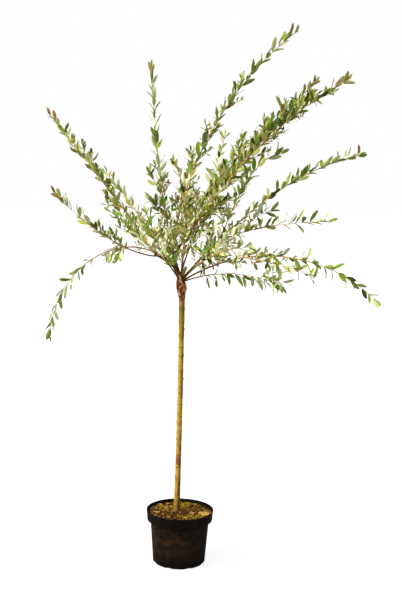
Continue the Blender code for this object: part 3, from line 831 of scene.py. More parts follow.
# %% The stem's shape
STEM_FOOT_Z = POT_HEIGHT - COMPOST_DROP + COMPOST_MOUND
STEM_BOW = 0.002
GRAFT_LEAN = -0.006
GRAFT_Z = 0.961
UNION_Z = 0.995
FORK_Z = 1.034
FLARE = 0.0032
FLARE_HEIGHT = 0.030
FOOT_RADIUS = 0.0100
STEM_TAPER = 0.0008
TAPER_HEIGHT = 0.35
UNION_SWELLING = 0.0058
UNION_SPREAD = 0.026
NECK_SWELLING = 0.0030


def stem_centre(level):
    """The stem's centre at a height: nearly upright, bowed a little, and leaning at the graft."""
    share = (level - STEM_FOOT_Z) / (FORK_Z - STEM_FOOT_Z)
    lean = GRAFT_LEAN * max(0.0, (level - GRAFT_Z) / (FORK_Z - GRAFT_Z)) ** 0.7
    return Vector((STEM_FOOT_X + STEM_BOW * math.sin(math.pi * share) + lean, 0, level))


def stem_radius(level):
    """The stem's radius: a root flare, a slow taper and the swelling of the graft union."""
    above = level - STEM_FOOT_Z
    flare = FLARE * math.exp(-above / FLARE_HEIGHT)
    taper = FOOT_RADIUS - STEM_TAPER * min(1.0, above / TAPER_HEIGHT)
    graft = UNION_SWELLING * math.exp(-(((level - UNION_Z) / UNION_SPREAD) ** 2))
    neck = NECK_SWELLING * max(0.0, (level - GRAFT_Z) / (FORK_Z - GRAFT_Z))
    return taper + flare + graft + neck


print("stem", round(FORK_Z - STEM_FOOT_Z, 3), "m long,",
      round(2000 * stem_radius(0.6), 1), "mm thick at half height")

# %% The shoots
Shoot = namedtuple(
    "Shoot", "name parent start azimuth rise tip_rise length bend bare radius hang side"
)
SHOOTS = [
    Shoot("centre", "stem", 1.024, 128, 45, 84, 0.77, 0.3, 0.150, 0.0078, 0.0, 0.8),
    Shoot("left", "centre", 0.035, 186, 45, 23, 0.10, 1.0, 0.100, 0.0050, 0.0, 0.0),
    Shoot("upper_right", "centre", 0.092, -28, 54, 25, 0.86, 1.9, 0.130, 0.0046, 0.0, 1.0),
    Shoot("steep_right", "centre", 0.108, 20, 85, 38, 0.93, 0.9, 0.140, 0.0036, 0.0, 0.8),
    Shoot("high_right", "stem", 1.028, 26, 89, 39, 0.89, 0.4, 0.170, 0.0032, 0.0, 1.0),
    Shoot("long_right", "stem", 1.021, 14, 47, 12, 0.81, 1.8, 0.210, 0.0036, 0.0, 0.5),
    Shoot("weeping_right", "stem", 1.014, -20, 34, -41, 0.74, 1.1, 0.230, 0.0032, 0.2, 0.5),
    Shoot("low_right", "stem", 1.012, 6, 24, -24, 0.37, 0.9, 0.080, 0.0026, 1.0, 0.0),
    Shoot("high_left", "left", 0.096, 165, 57, 48, 0.63, 0.3, 0.080, 0.0030, 0.0, 0.7),
    Shoot("mid_left", "left", 0.088, 205, -20, 44, 0.44, 0.3, 0.110, 0.0026, 0.0, 0.3),
    Shoot("weeping_left", "left", 0.078, 166, 46, -84, 0.60, 0.6, 0.250, 0.0024, 0.3, 0.0),
    Shoot("inner_left", "upper_right", 0.085, -113, 89, 24, 0.31, 1.4, 0.040, 0.0022, 0.0, 0.8),
    Shoot("inner_back", "upper_right", 0.120, 70, 30, 59, 0.48, 1.0, 0.070, 0.0022, 0.0, 1.0),
    Shoot("bent_right", "long_right", 0.196, -31, 66, 5, 0.40, 3.5, 0.060, 0.0022, 0.0, 0.7),
    Shoot("level_right", "long_right", 0.175, -20, 48, 3, 0.42, 0.3, 0.070, 0.0022, 0.0, 0.5),
    Shoot("stub", "stem", 1.026, 14, 66, 66, 0.046, 1.0, 0.046, 0.0066, 0.0, 0.0),
    Shoot("front_rise", "stem", 1.024, -84, 56, 26, 0.38, 1.0, 0.090, 0.0030, 0.0, 1.0),
    Shoot("front_right", "stem", 1.014, -62, 37, 4, 0.50, 0.8, 0.110, 0.0030, 0.2, 1.0),
    Shoot("front_left", "stem", 1.010, -125, 48, 14, 0.42, 0.9, 0.110, 0.0030, 0.0, 1.0),
    Shoot("left_front", "left", 0.060, -150, 32, 58, 0.28, 1.0, 0.060, 0.0024, 0.0, 1.0),
    Shoot("back_rise", "stem", 1.022, 84, 64, 40, 0.58, 1.0, 0.110, 0.0032, 0.0, 1.0),
    Shoot("back_right", "stem", 1.008, 56, 40, 2, 0.52, 1.0, 0.130, 0.0030, 0.0, 1.0),
    Shoot("back_left", "stem", 1.004, 112, 38, 6, 0.50, 1.0, 0.130, 0.0030, 0.0, 1.0),
    Shoot("left_back", "left", 0.050, 136, 50, 34, 0.46, 1.0, 0.070, 0.0024, 0.0, 0.6),
]
print(len(SHOOTS), "shoots,", round(sum(shoot.length for shoot in SHOOTS), 2), "m of them")

# %% The forks in them
Fork = namedtuple("Fork", "shoot start azimuth rise tip_rise length bend mood")
FORKS = [
    Fork("weeping_right", 0.250, -40, -4, -25, 0.29, 3.0, "leafy"),
    Fork("high_left", 0.086, 185, 30, 40, 0.14, 0.9, "fresh"),
    Fork("high_left", 0.200, 190, 26, 48, 0.08, 1.4, "shade"),
    Fork("mid_left", 0.120, 215, -8, -30, 0.07, 1.0, "fresh"),
    Fork("level_right", 0.120, 29, 81, 4, 0.14, 0.6, "leafy"),
    Fork("centre", 0.220, 190, 67, 35, 0.10, 1.4, "shade"),
    Fork("centre", 0.300, 200, 61, 61, 0.11, 1.0, "shade"),
    Fork("upper_right", 0.400, -10, 56, 31, 0.35, 1.2, "shade"),
    Fork("inner_back", 0.200, 30, 48, 64, 0.22, 0.9, "plain"),
    Fork("front_right", 0.220, -40, 54, 24, 0.14, 0.8, "cream"),
    Fork("front_left", 0.200, -121, 89, 50, 0.14, 0.6, "fresh"),
]
print(len(FORKS), "forks,", round(sum(fork.length for fork in FORKS), 2), "m of them")

# %% Lay the line of every shoot
FINE_STEP = 0.004


def grown_line(root, growth):
    """Points along a shoot or fork, from its root, by the rule of the solids."""
    count = max(3, round(growth.length / FINE_STEP))
    share = ((np.arange(count) + 0.5) / count) ** growth.bend
    rise = np.radians(growth.rise + (growth.tip_rise - growth.rise) * share)
    azimuth = math.radians(growth.azimuth)
    heading = np.stack(
        [np.cos(rise) * math.cos(azimuth), np.cos(rise) * math.sin(azimuth), np.sin(rise)], axis=1
    )
    return np.vstack([root, np.array(root) + np.cumsum(heading * growth.length / count, axis=0)])


def along(line, distance):
    """The point at a distance along a finely stepped line, and the direction there."""
    piece = np.linalg.norm(line[1] - line[0])
    spot = min(max(distance / piece, 0.0), len(line) - 1.001)
    index = int(spot)
    step = line[index + 1] - line[index]
    return Vector(line[index] + step * (spot - index)), Vector(step).normalized()


lines = {}
for shoot in SHOOTS:
    if shoot.parent == "stem":
        root = stem_centre(shoot.start)
    else:
        root = along(lines[shoot.parent], shoot.start)[0]
    lines[shoot.name] = grown_line(root, shoot)
print("the highest shoot reaches", round(max(line[:, 2].max() for line in lines.values()), 3), "m")

# %% [markdown]
# ## One way to make every limb
#
# Stem, bough and twig are all round limbs along a line. A curve object with a bevel would do,
# but it gives no say over the surface. Here a plain cylinder is cut into rings once, and each
# ring is carried to its place on the limb's line, where a relief function may still push single
# points out or in. The directions across the line are carried along it, so nothing twists.

# %% Carry a ringed cylinder along a line
Limb = namedtuple("Limb", "template ring angle")


@lru_cache(maxsize=None)
def ringed_cylinder(rings, sides):
    """A closed unit cylinder of some rings, with each point's ring and angle."""
    shape = bmesh.new()
    bmesh.ops.create_cone(shape, cap_ends=True, segments=sides, radius1=1, radius2=1, depth=1)
    upright = [edge for edge in shape.edges if abs(edge.verts[0].co.z - edge.verts[1].co.z) > 0.5]
    bmesh.ops.subdivide_edges(shape, edges=upright, cuts=rings - 2)
    template = template_of(shape)
    ring = np.rint((template.points[:, 2] + 0.5) * (rings - 1)).astype(int)
    angle = np.arctan2(template.points[:, 1], template.points[:, 0])
    return Limb(template, ring, angle)


def frames_along(line):
    """Two directions across a line at each of its points, carried along it with no twist."""
    tangents = np.gradient(line, axis=0)
    tangents /= np.linalg.norm(tangents, axis=1)[:, None]
    side = np.array(Vector(tangents[0]).orthogonal().normalized())
    sides = np.empty_like(tangents)
    for index, tangent in enumerate(tangents):
        side = side - tangent * (side @ tangent)
        side = side / np.linalg.norm(side)
        sides[index] = side
    return sides, np.cross(tangents, sides)


def carried(limb, line, radii, push=None):
    """The ringed cylinder's points on a line, with a radius for each ring."""
    sides, across = frames_along(line)
    radius = np.asarray(radii)[limb.ring]
    if push is not None:
        radius = radius + push
    outward = (
        sides[limb.ring] * np.cos(limb.angle)[:, None]
        + across[limb.ring] * np.sin(limb.angle)[:, None]
    )
    return line[limb.ring] + outward * radius[:, None]


def resample(line, distances):
    """The points at some distances along a finely stepped line."""
    piece = np.linalg.norm(line[1] - line[0])
    spots = np.clip(np.asarray(distances) / piece, 0, len(line) - 1)
    index = np.minimum(spots.astype(int), len(line) - 2)
    return line[index] + (line[index + 1] - line[index]) * (spots - index)[:, None]


print("a ringed cylinder of 5 rings and 8 sides has", len(ringed_cylinder(5, 8).angle), "points")

# %% [markdown]
# ## The stem and its graft
#
# The stem is smooth young bark, with a slight swelling and two bud scars wherever leaves once
# stood. At the top the crown was grafted on. There the bark is swollen and split into rough
# lengthwise ridges, with a knob on one side. All of it is pushed into the mesh as real relief,
# and how deep each point lies is kept as an attribute, so that the finish can paint shade into
# the cracks and highlights onto the ridges.
# The dressed stem is a little wider than its solid, by BARK and near the graft by UPPER_BARK more.

# %% Lay the stem's rings
STEM_STEP = 0.0016
STEM_SIDES = 44
STEM_SUNK = 0.004
STEM_DOME = 0.009
DOME_BELOW = 0.003
BARK = 0.0004
UPPER_BARK = 0.0008
UPPER_FOOT, UPPER_SPAN = 0.80, 0.08
stem_count = round((FORK_Z - STEM_FOOT_Z + STEM_SUNK + STEM_DOME) / STEM_STEP)
levels = np.linspace(STEM_FOOT_Z - STEM_SUNK, FORK_Z + STEM_DOME, stem_count)
stem_line = np.array([stem_centre(min(level, FORK_Z)) for level in levels])
stem_line[:, 2] = levels
stem_radii = np.array([stem_radius(max(STEM_FOOT_Z, min(level, FORK_Z))) for level in levels])
stem_radii += BARK + UPPER_BARK * np.clip((levels - UPPER_FOOT) / UPPER_SPAN, 0, 1)
dome = np.clip((levels - FORK_Z + DOME_BELOW) / (STEM_DOME + DOME_BELOW), 0, 1)
stem_radii *= np.sqrt(np.maximum(0.02, 1 - dome**2))
stem_limb = ringed_cylinder(stem_count, STEM_SIDES)
level_of = levels[stem_limb.ring]
around = stem_limb.angle
print("rings on the stem:", stem_count)

# %% Push out its leaf nodes and buds
GRAFT_FOOT = 0.940
FIRST_NODE = 0.232
NODE_GAP = 0.058
NODE_SWELLING, NODE_HEIGHT = 0.00045, 0.0045
BUD_PUSH, BUD_HEIGHT, BUD_ANGLE = 0.0013, 0.0030, 0.30


def bump_at(offset, width):
    """A smooth bump of height 1 and a given half width."""
    return np.exp(-((offset / width) ** 2))


def turn_gap(angle, towards):
    """The angle between two directions round the stem."""
    return np.abs((angle - towards + math.pi) % (2 * math.pi) - math.pi)


push = np.zeros(len(level_of))
buds = np.zeros(len(level_of))
chance = random.Random(7)
node_levels = np.arange(FIRST_NODE, GRAFT_FOOT, NODE_GAP)
for order, base_level in enumerate(node_levels):
    level = base_level + chance.uniform(-0.012, 0.012)
    towards = math.radians(90 * order + chance.uniform(-25, 25))
    push += NODE_SWELLING * bump_at(level_of - level, NODE_HEIGHT)
    for half in (0, math.pi):
        beside = bump_at(turn_gap(around, towards + half), BUD_ANGLE)
        bud = bump_at(level_of - level, BUD_HEIGHT) * beside
        push += BUD_PUSH * bud
        buds += 0.6 * bud
print("leaf nodes on the stem:", len(node_levels))

# %% Ridge and crack the bark of the graft
GRAFT_BLEND = 0.025
RIDGE_PUSH, CRUMBLE_PUSH, FINE_PUSH, CRACK_DEPTH = 0.0012, 0.0015, 0.0006, 0.0016
CRACK_WIDTH = 0.07
YOUNG_BARK_PUSH = 0.00022
in_graft = np.clip((level_of - GRAFT_FOOT) / GRAFT_BLEND, 0, 1)
ridges = np.zeros(len(level_of))
crumble = np.zeros(len(level_of))
fine_bark = np.zeros(len(level_of))
cracks = np.zeros(len(level_of))
for index, (angle, level) in enumerate(zip(around, level_of)):
    x, y = math.cos(angle), math.sin(angle)
    wander = 0.9 * noise.noise(Vector((x * 0.7, y * 0.7, level * 30)))
    ridges[index] = math.cos(7 * (angle + wander)) * 0.5 + math.cos(4 * angle + level * 90) * 0.5
    crumble[index] = noise.noise(Vector((x * 2.2, y * 2.2, level * 95)))
    fine_bark[index] = noise.noise(Vector((x * 5.5, y * 5.5, level * 60)))
    split_here = noise.noise(Vector((x * 1.9 + 3.1, y * 1.9, level * 42)))
    cracks[index] = math.exp(-((split_here / CRACK_WIDTH) ** 2))
graft_push = RIDGE_PUSH * ridges + CRUMBLE_PUSH * crumble + FINE_PUSH * fine_bark
push += in_graft * (graft_push - CRACK_DEPTH * cracks)
push += (1 - in_graft) * (YOUNG_BARK_PUSH * fine_bark)
print("the graft's bark stands out by up to", round(1000 * push.max(), 1), "mm")

# %% [markdown]
# The knob has to face the right of the photograph, so it is aimed by each point's own direction
# from the stem's middle rather than by the cylinder's angle. So are the small nubs of old side
# shoots, to the left or the right. The thin rings go all the way round.

# %% Aim the nubs, the rings and the knob
STEM_NUBS = [
    (0.847, 1, 0.0024), (0.716, -1, 0.0022), (0.669, 1, 0.0036), (0.513, -1, 0.0022),
    (0.478, 1, 0.0020), (0.314, -1, 0.0024), (0.752, 1, 0.0012), (0.752, -1, 0.0012),
]
STEM_RINGS = [(0.927, 0.5), (0.871, 0.5), (0.783, 0.9), (0.752, 0.5), (0.590, 0.5), (0.425, 0.5)]
NUB_HEIGHT = 0.0024
RING_PUSH, RING_HEIGHT = 0.0004, 0.0020
KNOB = [(0.9880, 0.0052, 0.0050, 6), (1.0000, 0.0022, 0.0100, 3), (1.0225, -0.0075, 0.0080, 2)]
sides_of_stem, across_stem = frames_along(stem_line)
outward_of = (
    sides_of_stem[stem_limb.ring] * np.cos(around)[:, None]
    + across_stem[stem_limb.ring] * np.sin(around)[:, None]
)
to_right = np.clip(outward_of[:, 0], 0, 1)
scars = np.minimum(1, buds)
for level, side, size in STEM_NUBS:
    nub = bump_at(level_of - level, NUB_HEIGHT) * np.clip(outward_of[:, 0] * side, 0, 1) ** 9
    push += size * nub
    scars = np.maximum(scars, nub)
for level, strength in STEM_RINGS:
    ring = bump_at(level_of - level, RING_HEIGHT) * (0.5 + 0.8 * fine_bark)
    push += RING_PUSH * ring
    scars = np.maximum(scars, strength * ring)
for level, size, height, aim in KNOB:
    push += size * bump_at(level_of - level, height) * to_right**aim
stem_joined = Joined("stem_bark")
stem_joined.add(stem_limb.template, carried(stem_limb, stem_line, stem_radii, push))
print("with the knob it stands out by up to", round(1000 * push.max(), 1), "mm")

# %% [markdown]
# Its colour runs from ochre at the foot through bright yellow-ochre to olive below the graft,
# where it turns into red-brown bark. A colour ramp up the height holds that order. Patches,
# lengthwise streaks and a reddish band low down break it up, as in the photograph. Its right
# side, away from the light, gets painted shade in olive patches.

# %% Finish the stem
BARK_REACH = 0.0040
bark, tree, shader, place = new_finish("stem_bark", Specular_IOR_Level=0.2)
split = put(tree, "ShaderNodeSeparateXYZ", Vector=place)
cloud = put(tree, "ShaderNodeTexNoise", Vector=place, Scale=110.0, Detail=3.0).outputs["Fac"]
up_stem = between(tree, split.outputs["Z"], STEM_FOOT_Z, FORK_Z + STEM_DOME)
up_stem = plus(tree, up_stem, between(tree, cloud, 0, 1, -0.035, 0.035))
young = ramp(tree, up_stem, [
    (0.00, colour(122, 90, 24)), (0.06, colour(182, 140, 46)), (0.19, colour(204, 160, 58)),
    (0.205, colour(140, 84, 34)), (0.235, colour(158, 100, 40)), (0.255, colour(200, 158, 54)),
    (0.50, colour(204, 164, 58)), (0.72, colour(184, 154, 48)), (0.862, colour(130, 120, 26)),
    (0.882, colour(186, 128, 56)), (0.93, colour(130, 76, 38)), (1.00, colour(88, 56, 30)),
])
worn = use_group(tree, streaks, place, Scale=85.0, Stretch=(1.0, 1.0, 0.45), From=0.54, To=0.66)
young = blend(tree, worn, young, colour(146, 104, 26))
rust = use_group(tree, patches, place, Scale=130.0, From=0.60, To=0.70)
young = blend(tree, rust, young, colour(118, 70, 24))
fissures = use_group(tree, streaks, place, Scale=520.0, Stretch=(1.0, 1.0, 0.05), From=0.60,
                     To=0.70)
young = blend(tree, fissures, young, colour(100, 78, 16))
# Darker brown patches low down on the stem's right side.
right_of_stem = between(tree, split.outputs["X"], STEM_FOOT_X - 0.0010, STEM_FOOT_X + 0.0040)
low_down = between(tree, split.outputs["Z"], 0.315, 0.275)
dark_foot = times(tree, times(tree, right_of_stem, low_down), between(tree, cloud, 0.40, 0.52))
young = blend(tree, dark_foot, young, colour(72, 42, 14))
# Painted shade: the stem's right side, away from the light, is darkened to olive in broad patches.
painted_shade_side = between(tree, split.outputs["X"], STEM_FOOT_X + 0.0015, STEM_FOOT_X + 0.0055, 0, 0.75)
painted_shade_patches = use_group(tree, patches, place, Scale=13.0, From=0.40, To=0.55)
young = blend(tree, times(tree, painted_shade_side, painted_shade_patches), young, colour(84, 68, 8))
young = blend(tree, kept_value(tree, "scars"), young, colour(62, 42, 14))
stand = kept_value(tree, "stand")
# The graft's colour by relief height: painted shade in the cracks, red-brown bark between, and
# painted highlights on the ridges.
graft_bark_and_shade = ramp(tree, stand, [
    (0.12, colour(30, 16, 6)), (0.38, colour(96, 54, 22)), (0.62, colour(164, 106, 56)),
    (0.86, colour(236, 184, 134)),
])
ragged_height = plus(tree, split.outputs["Z"], between(tree, cloud, 0, 1, -0.03, 0.03))
graft_mask = between(tree, ragged_height, 0.948, 0.960)
tree.links.new(blend(tree, graft_mask, young, graft_bark_and_shade), shader.inputs["Base Color"])
roughen(tree, shader, graft_mask, 0.50, 0.85)
height = use_group(tree, relief, place, Coarse=220.0, Fine=1100.0, Fine_Share=0.5)
raise_surface(tree, shader, height, 0.0007, 0.6)
stem_piece = stem_joined.build([bark], crease=80)
keep_values(stem_piece, "stand", 0.5 + push / BARK_REACH)
keep_values(stem_piece, "scars", scars)
finish_piece(stem_piece, nodes=["stem"])

# %% [markdown]
# ## The boughs
#
# Each bough is the bare foot of one shoot. It is thick where it joins, with a collar of bark,
# and thins evenly, only the leader later than that. Older wood is dark brown and ridged
# lengthwise, younger wood is smoother and tan, so every point also stores how old its wood is.
# The sawn stub shows its pale wood on its cut end, and has a grey-green bark of its own.

# %% How thick a bough is
TWIG_FOOT = 0.0029
COLLAR = 0.40
COLLAR_LENGTH = 0.007
LEADER_TAPER = 0.45


def twig_foot(shoot):
    """The radius at which a shoot's bough ends and its leading twig begins."""
    return min(TWIG_FOOT, shoot.radius * 0.85)


def bough_radii(shoot, distances):
    """A bough's radius at some distances, with the collar at its foot."""
    end = twig_foot(shoot) if shoot.bare < shoot.length else shoot.radius * 0.8
    fullness = (1 - distances / shoot.bare) ** (LEADER_TAPER if shoot.name == "centre" else 1.0)
    plain = end + (shoot.radius - end) * fullness
    return plain * (1 + COLLAR * np.exp(-distances / COLLAR_LENGTH))


thickest = max(bough_radii(shoot, np.zeros(1))[0] for shoot in SHOOTS)
print("the thickest bough is", round(2000 * thickest, 1), "mm at its collar")

# %% Model the boughs
BOUGH_SIDES = 20
BOUGH_STEP = 0.0022
INTO_TWIG = 0.002
RELIEF_DEPTH = 0.0007
SMOOTH_RADIUS, ROUGH_SPAN, LEAST_ROUGH = 0.0024, 0.0035, 0.12
GROOVES, GROOVE_TWIST, GROOVE_SHARE = 6, 30, 0.4
YOUNG_RADIUS, OLD_SPAN = 0.0036, 0.0030
OLD_FOOT = 0.065
SAWN_SLOT, STUB_SLOT = 1, 2
boughs = Joined("bough_bark")
stands, ages = [], []
for order, shoot in enumerate(SHOOTS):
    overlap = 0.0 if shoot.name == "stub" else INTO_TWIG
    count = max(6, round((shoot.bare + overlap) / BOUGH_STEP))
    distances = np.linspace(0, shoot.bare + overlap, count)
    limb = ringed_cylinder(count, BOUGH_SIDES)
    radii = bough_radii(shoot, np.minimum(distances, shoot.bare))
    far_out = distances[limb.ring]
    thick = np.clip((radii[limb.ring] - SMOOTH_RADIUS) / ROUGH_SPAN, LEAST_ROUGH, 1)
    bumps = np.array([
        noise.noise(Vector((math.cos(angle) * 2.4, math.sin(angle) * 2.4, d * 45 + order * 9)))
        for angle, d in zip(limb.angle, far_out)
    ])
    grooves = np.cos(GROOVES * limb.angle + GROOVE_TWIST * far_out) * GROOVE_SHARE
    rough = (bumps + grooves) * thick
    line = resample(lines[shoot.name], distances)
    boughs.add(limb.template, carried(limb, line, radii, RELIEF_DEPTH * rough))
    if shoot.name == "stub":
        boughs.slots[-len(limb.template.faces):] = [
            SAWN_SLOT if len(face) == BOUGH_SIDES and limb.ring[face[0]] == count - 1
            else STUB_SLOT for face in limb.template.faces
        ]
    stands.append(0.5 + 0.5 * rough)
    by_girth = np.clip((radii[limb.ring] - YOUNG_RADIUS) / OLD_SPAN, 0, 1)
    ages.append(np.maximum(by_girth, np.exp(-far_out / OLD_FOOT)))
print(len(stands), "boughs with", boughs.count, "points")

# %% Finish the boughs
wood, tree, shader, place = new_finish("bough_bark", Roughness=0.85, Specular_IOR_Level=0.10)
age = kept_value(tree, "age")
stand = kept_value(tree, "stand")
by_age = ramp(tree, age, [
    (0.0, colour(190, 140, 80)), (0.22, colour(154, 106, 54)), (0.6, colour(102, 71, 34)),
    (1.0, colour(100, 74, 40)),
])
mottled = use_group(tree, patches, place, Scale=120.0, From=0.42, To=0.60)
mottled = times(tree, mottled, between(tree, age, 0, 0.5, 0.35, 1.0))
by_age = blend(tree, mottled, by_age, colour(92, 60, 24))
# Painted shade: the bark's grooves are darkened and its ridges keep their colour.
painted_groove_shade = ramp(tree, stand, [(0.15, colour(110, 104, 96)), (0.6, colour(255, 252, 246))])
tree.links.new(blend(tree, 0.7, by_age, painted_groove_shade, "MULTIPLY"), shader.inputs["Base Color"])
height = use_group(tree, relief, place, Coarse=300.0, Fine=1300.0, Fine_Share=0.5)
raise_surface(tree, shader, height, 0.0006, 0.7)

sawn, tree, shader, place = new_finish("sawn_wood", Roughness=0.8, Specular_IOR_Level=0.2)
rings_in_wood = put(tree, "ShaderNodeTexWave", {"wave_type": "RINGS"}, Vector=place, Scale=160.0,
                    Distortion=3.0)
tree.links.new(
    ramp(tree, rings_in_wood.outputs["Fac"], [(0, colour(118, 88, 50)), (1, colour(176, 146, 96))]),
    shader.inputs["Base Color"],
)

stub_bark, tree, shader, place = new_finish("stub_bark", Roughness=0.8, Specular_IOR_Level=0.2)
mossy_side = use_group(tree, patches, place, Scale=150.0, From=0.40, To=0.60)
stub_shade = blend(tree, mossy_side, colour(112, 100, 46), colour(150, 146, 84))
tree.links.new(stub_shade, shader.inputs["Base Color"])
height = use_group(tree, relief, place, Coarse=260.0, Fine=1200.0, Fine_Share=0.5)
raise_surface(tree, shader, height, 0.0006, 0.7)
bough_piece = boughs.build([wood, sawn, stub_bark], crease=70)
keep_values(bough_piece, "stand", np.concatenate(stands))
keep_values(bough_piece, "age", np.concatenate(ages))
finish_piece(bough_piece, nodes=BOUGH_NODES)

# %% [markdown]
# ## One leaf
#
# A willow leaf here is about 30 to 55 mm long and not quite a third as wide, pointed at both
# ends, folded a little along its midrib and arched. It starts as a small grid, whose rows are
# drawn in to the leaf's outline. A turned-over copy, a little lower, is merged to it along the
# edge, so that the leaf is a closed thin solid with its own underside. Six variants arch and
# twist differently, and each has its own pattern of splashes for the dappled leaves.

# %% Shape the leaf templates
LEAF_ROWS = 6
LEAF_COLUMNS = 4
LEAF_THICK = 0.012
LEAF_WIDTH = 0.295
LEAF_ARCHES = (0.02, 0.10, 0.18, 0.06, 0.26, 0.13)
LEAF_TWISTS = (6, -18, 14, 26, -8, -30)
LEAF_FOLDS = (0.22, 0.40, 0.30, 0.16, 0.34, 0.26)
LEAF_SEED = 500
WAVE_DEPTH = 0.05
SPLASHED = 0.45
OUTLINE_PEAK = 0.355
UPPER, SPLASH, UNDER = 0, 1, 2


def leaf_outline(share):
    """Half the leaf's width at a share of its length, from 0 to 0.5."""
    return 0.5 * (share**0.8) * ((1 - share) ** 0.7) / OUTLINE_PEAK


def leaf_template(variant):
    """A unit leaf along +Y that faces +Z, with its underside merged along the edge."""
    chance = random.Random(LEAF_SEED + variant)
    arch, fold = LEAF_ARCHES[variant], LEAF_FOLDS[variant]
    twist = math.radians(LEAF_TWISTS[variant])
    wave = chance.uniform(0, math.tau)
    shape = bmesh.new()
    bmesh.ops.create_grid(shape, x_segments=LEAF_COLUMNS, y_segments=LEAF_ROWS, size=0.5)
    bmesh.ops.recalc_face_normals(shape, faces=shape.faces)
    if shape.faces[:][0].normal.z < 0:
        bmesh.ops.reverse_faces(shape, faces=shape.faces)
    edge_points = set()
    for vertex in shape.verts:
        across = vertex.co.x * 2
        share = min(1.0, max(0.0, vertex.co.y + 0.5))
        if abs(across) > 0.99 or share < 0.001 or share > 0.999:
            edge_points.add(vertex)
        half = leaf_outline(share)
        ripple = WAVE_DEPTH * math.sin(wave + share * 13) * abs(across)
        turn_here = twist * share
        x, z = across * half, abs(across) * half * fold + ripple
        vertex.co.x = (x * math.cos(turn_here) - z * math.sin(turn_here)) * LEAF_WIDTH
        vertex.co.y = share * (1 - 0.4 * arch * share)
        lifted = (x * math.sin(turn_here) + z * math.cos(turn_here)) * LEAF_WIDTH
        vertex.co.z = lifted - arch * share**2
    for face in shape.faces:
        face.material_index = SPLASH if chance.random() < SPLASHED else UPPER
    originals = shape.verts[:]
    below = bmesh.ops.duplicate(shape, geom=originals + shape.edges[:] + shape.faces[:])
    for vertex in originals:
        if vertex not in edge_points:
            below["vert_map"][vertex].co.z -= LEAF_THICK
    under_faces = [item for item in below["geom"] if isinstance(item, bmesh.types.BMFace)]
    bmesh.ops.reverse_faces(shape, faces=under_faces)
    for face in under_faces:
        face.material_index = UNDER
    bmesh.ops.remove_doubles(shape, verts=shape.verts, dist=1e-5)
    return template_of(shape)


leaf_templates = [leaf_template(variant) for variant in range(len(LEAF_ARCHES))]
print("a leaf has", len(leaf_templates[0].faces), "faces")

# %% [markdown]
# ## The colours of the leaves
#
# This willow is grown for its dappled leaves: the old ones are plain green or olive, young ones
# are splashed with cream, and the newest at many tips are bronze or pink. A photograph on each
# leaf would repeat visibly and cost memory. Instead every kind of leaf is one joined piece
# with three plain colours: its upper side, its splashes and its underside.

# %% Leaf kinds
LEAF_KINDS = {
    "dark": ((58, 80, 12), (78, 101, 23), (112, 131, 54)),
    "green": ((95, 128, 19), (121, 151, 37), (146, 163, 74)),
    "fresh": ((106, 164, 27), (139, 183, 52), (162, 191, 84)),
    # The young kind is partly real, for the fresh light green leaves before the leader, and partly
    # painted light: it is made lighter to make up for the crown's shadow on them.
    "young": ((176, 214, 98), (196, 222, 118), (196, 216, 134)),
    "olive": ((137, 146, 38), (172, 178, 84), (182, 188, 108)),
    "yellow_green": ((180, 189, 82), (214, 217, 128), (206, 212, 128)),
    "soft": ((166, 181, 116), (212, 218, 170), (190, 200, 147)),
    "pale": ((218, 222, 135), (242, 241, 186), (231, 235, 164)),
    "cream": ((243, 243, 205), (206, 214, 136), (243, 243, 205)),
    "bronze": ((136, 102, 36), (156, 122, 46), (166, 139, 72)),
    "pink": ((215, 160, 113), (221, 190, 130), (215, 177, 130)),
}
leaves = {kind: Joined("leaves_" + kind) for kind in LEAF_KINDS}
print(len(leaves), "kinds of leaves")

# %% [markdown]
# Neighbouring leaves are alike, so colours are dealt out by spray: every few pairs share one
# mood, and the mood says how many leaves of each kind to expect. Each shoot says how often it is
# in which mood, and a tip has a mood of its own. All these numbers are weights. Shoots on the
# right are mostly darker than those on the left.

# %% The moods of the sprays
MOODS = {
    "shade": {"dark": 4, "green": 4, "olive": 2},
    "fresh": {"fresh": 6, "green": 2, "yellow_green": 2},
    "leafy": {"dark": 3, "green": 2, "olive": 6, "soft": 1},
    "plain": {"dark": 3, "green": 4, "olive": 3, "yellow_green": 3, "pale": 2},
    "dappled": {"dark": 2, "olive": 1, "yellow_green": 2, "pale": 4, "cream": 4, "soft": 2},
    "bright": {"fresh": 4, "pale": 2, "soft": 4},
    "young": {"young": 5, "fresh": 2, "green": 1},
    "soft": {"soft": 5, "green": 2, "olive": 1, "cream": 1},
    "cream": {"soft": 3, "pale": 3, "cream": 4},
    "tip": {"bronze": 5, "olive": 4, "pink": 2, "green": 2},
    "green_tip": {"green": 4, "olive": 4, "soft": 2, "bronze": 1},
    "dark_tip": {"bronze": 7, "dark": 3, "green": 1, "olive": 2, "pink": 2},
}
INNER_MOODS = {"shade": 2, "plain": 5, "dappled": 6, "fresh": 2, "cream": 2}
OUTER_MOODS = {"shade": 1, "plain": 4, "dappled": 5, "cream": 1}
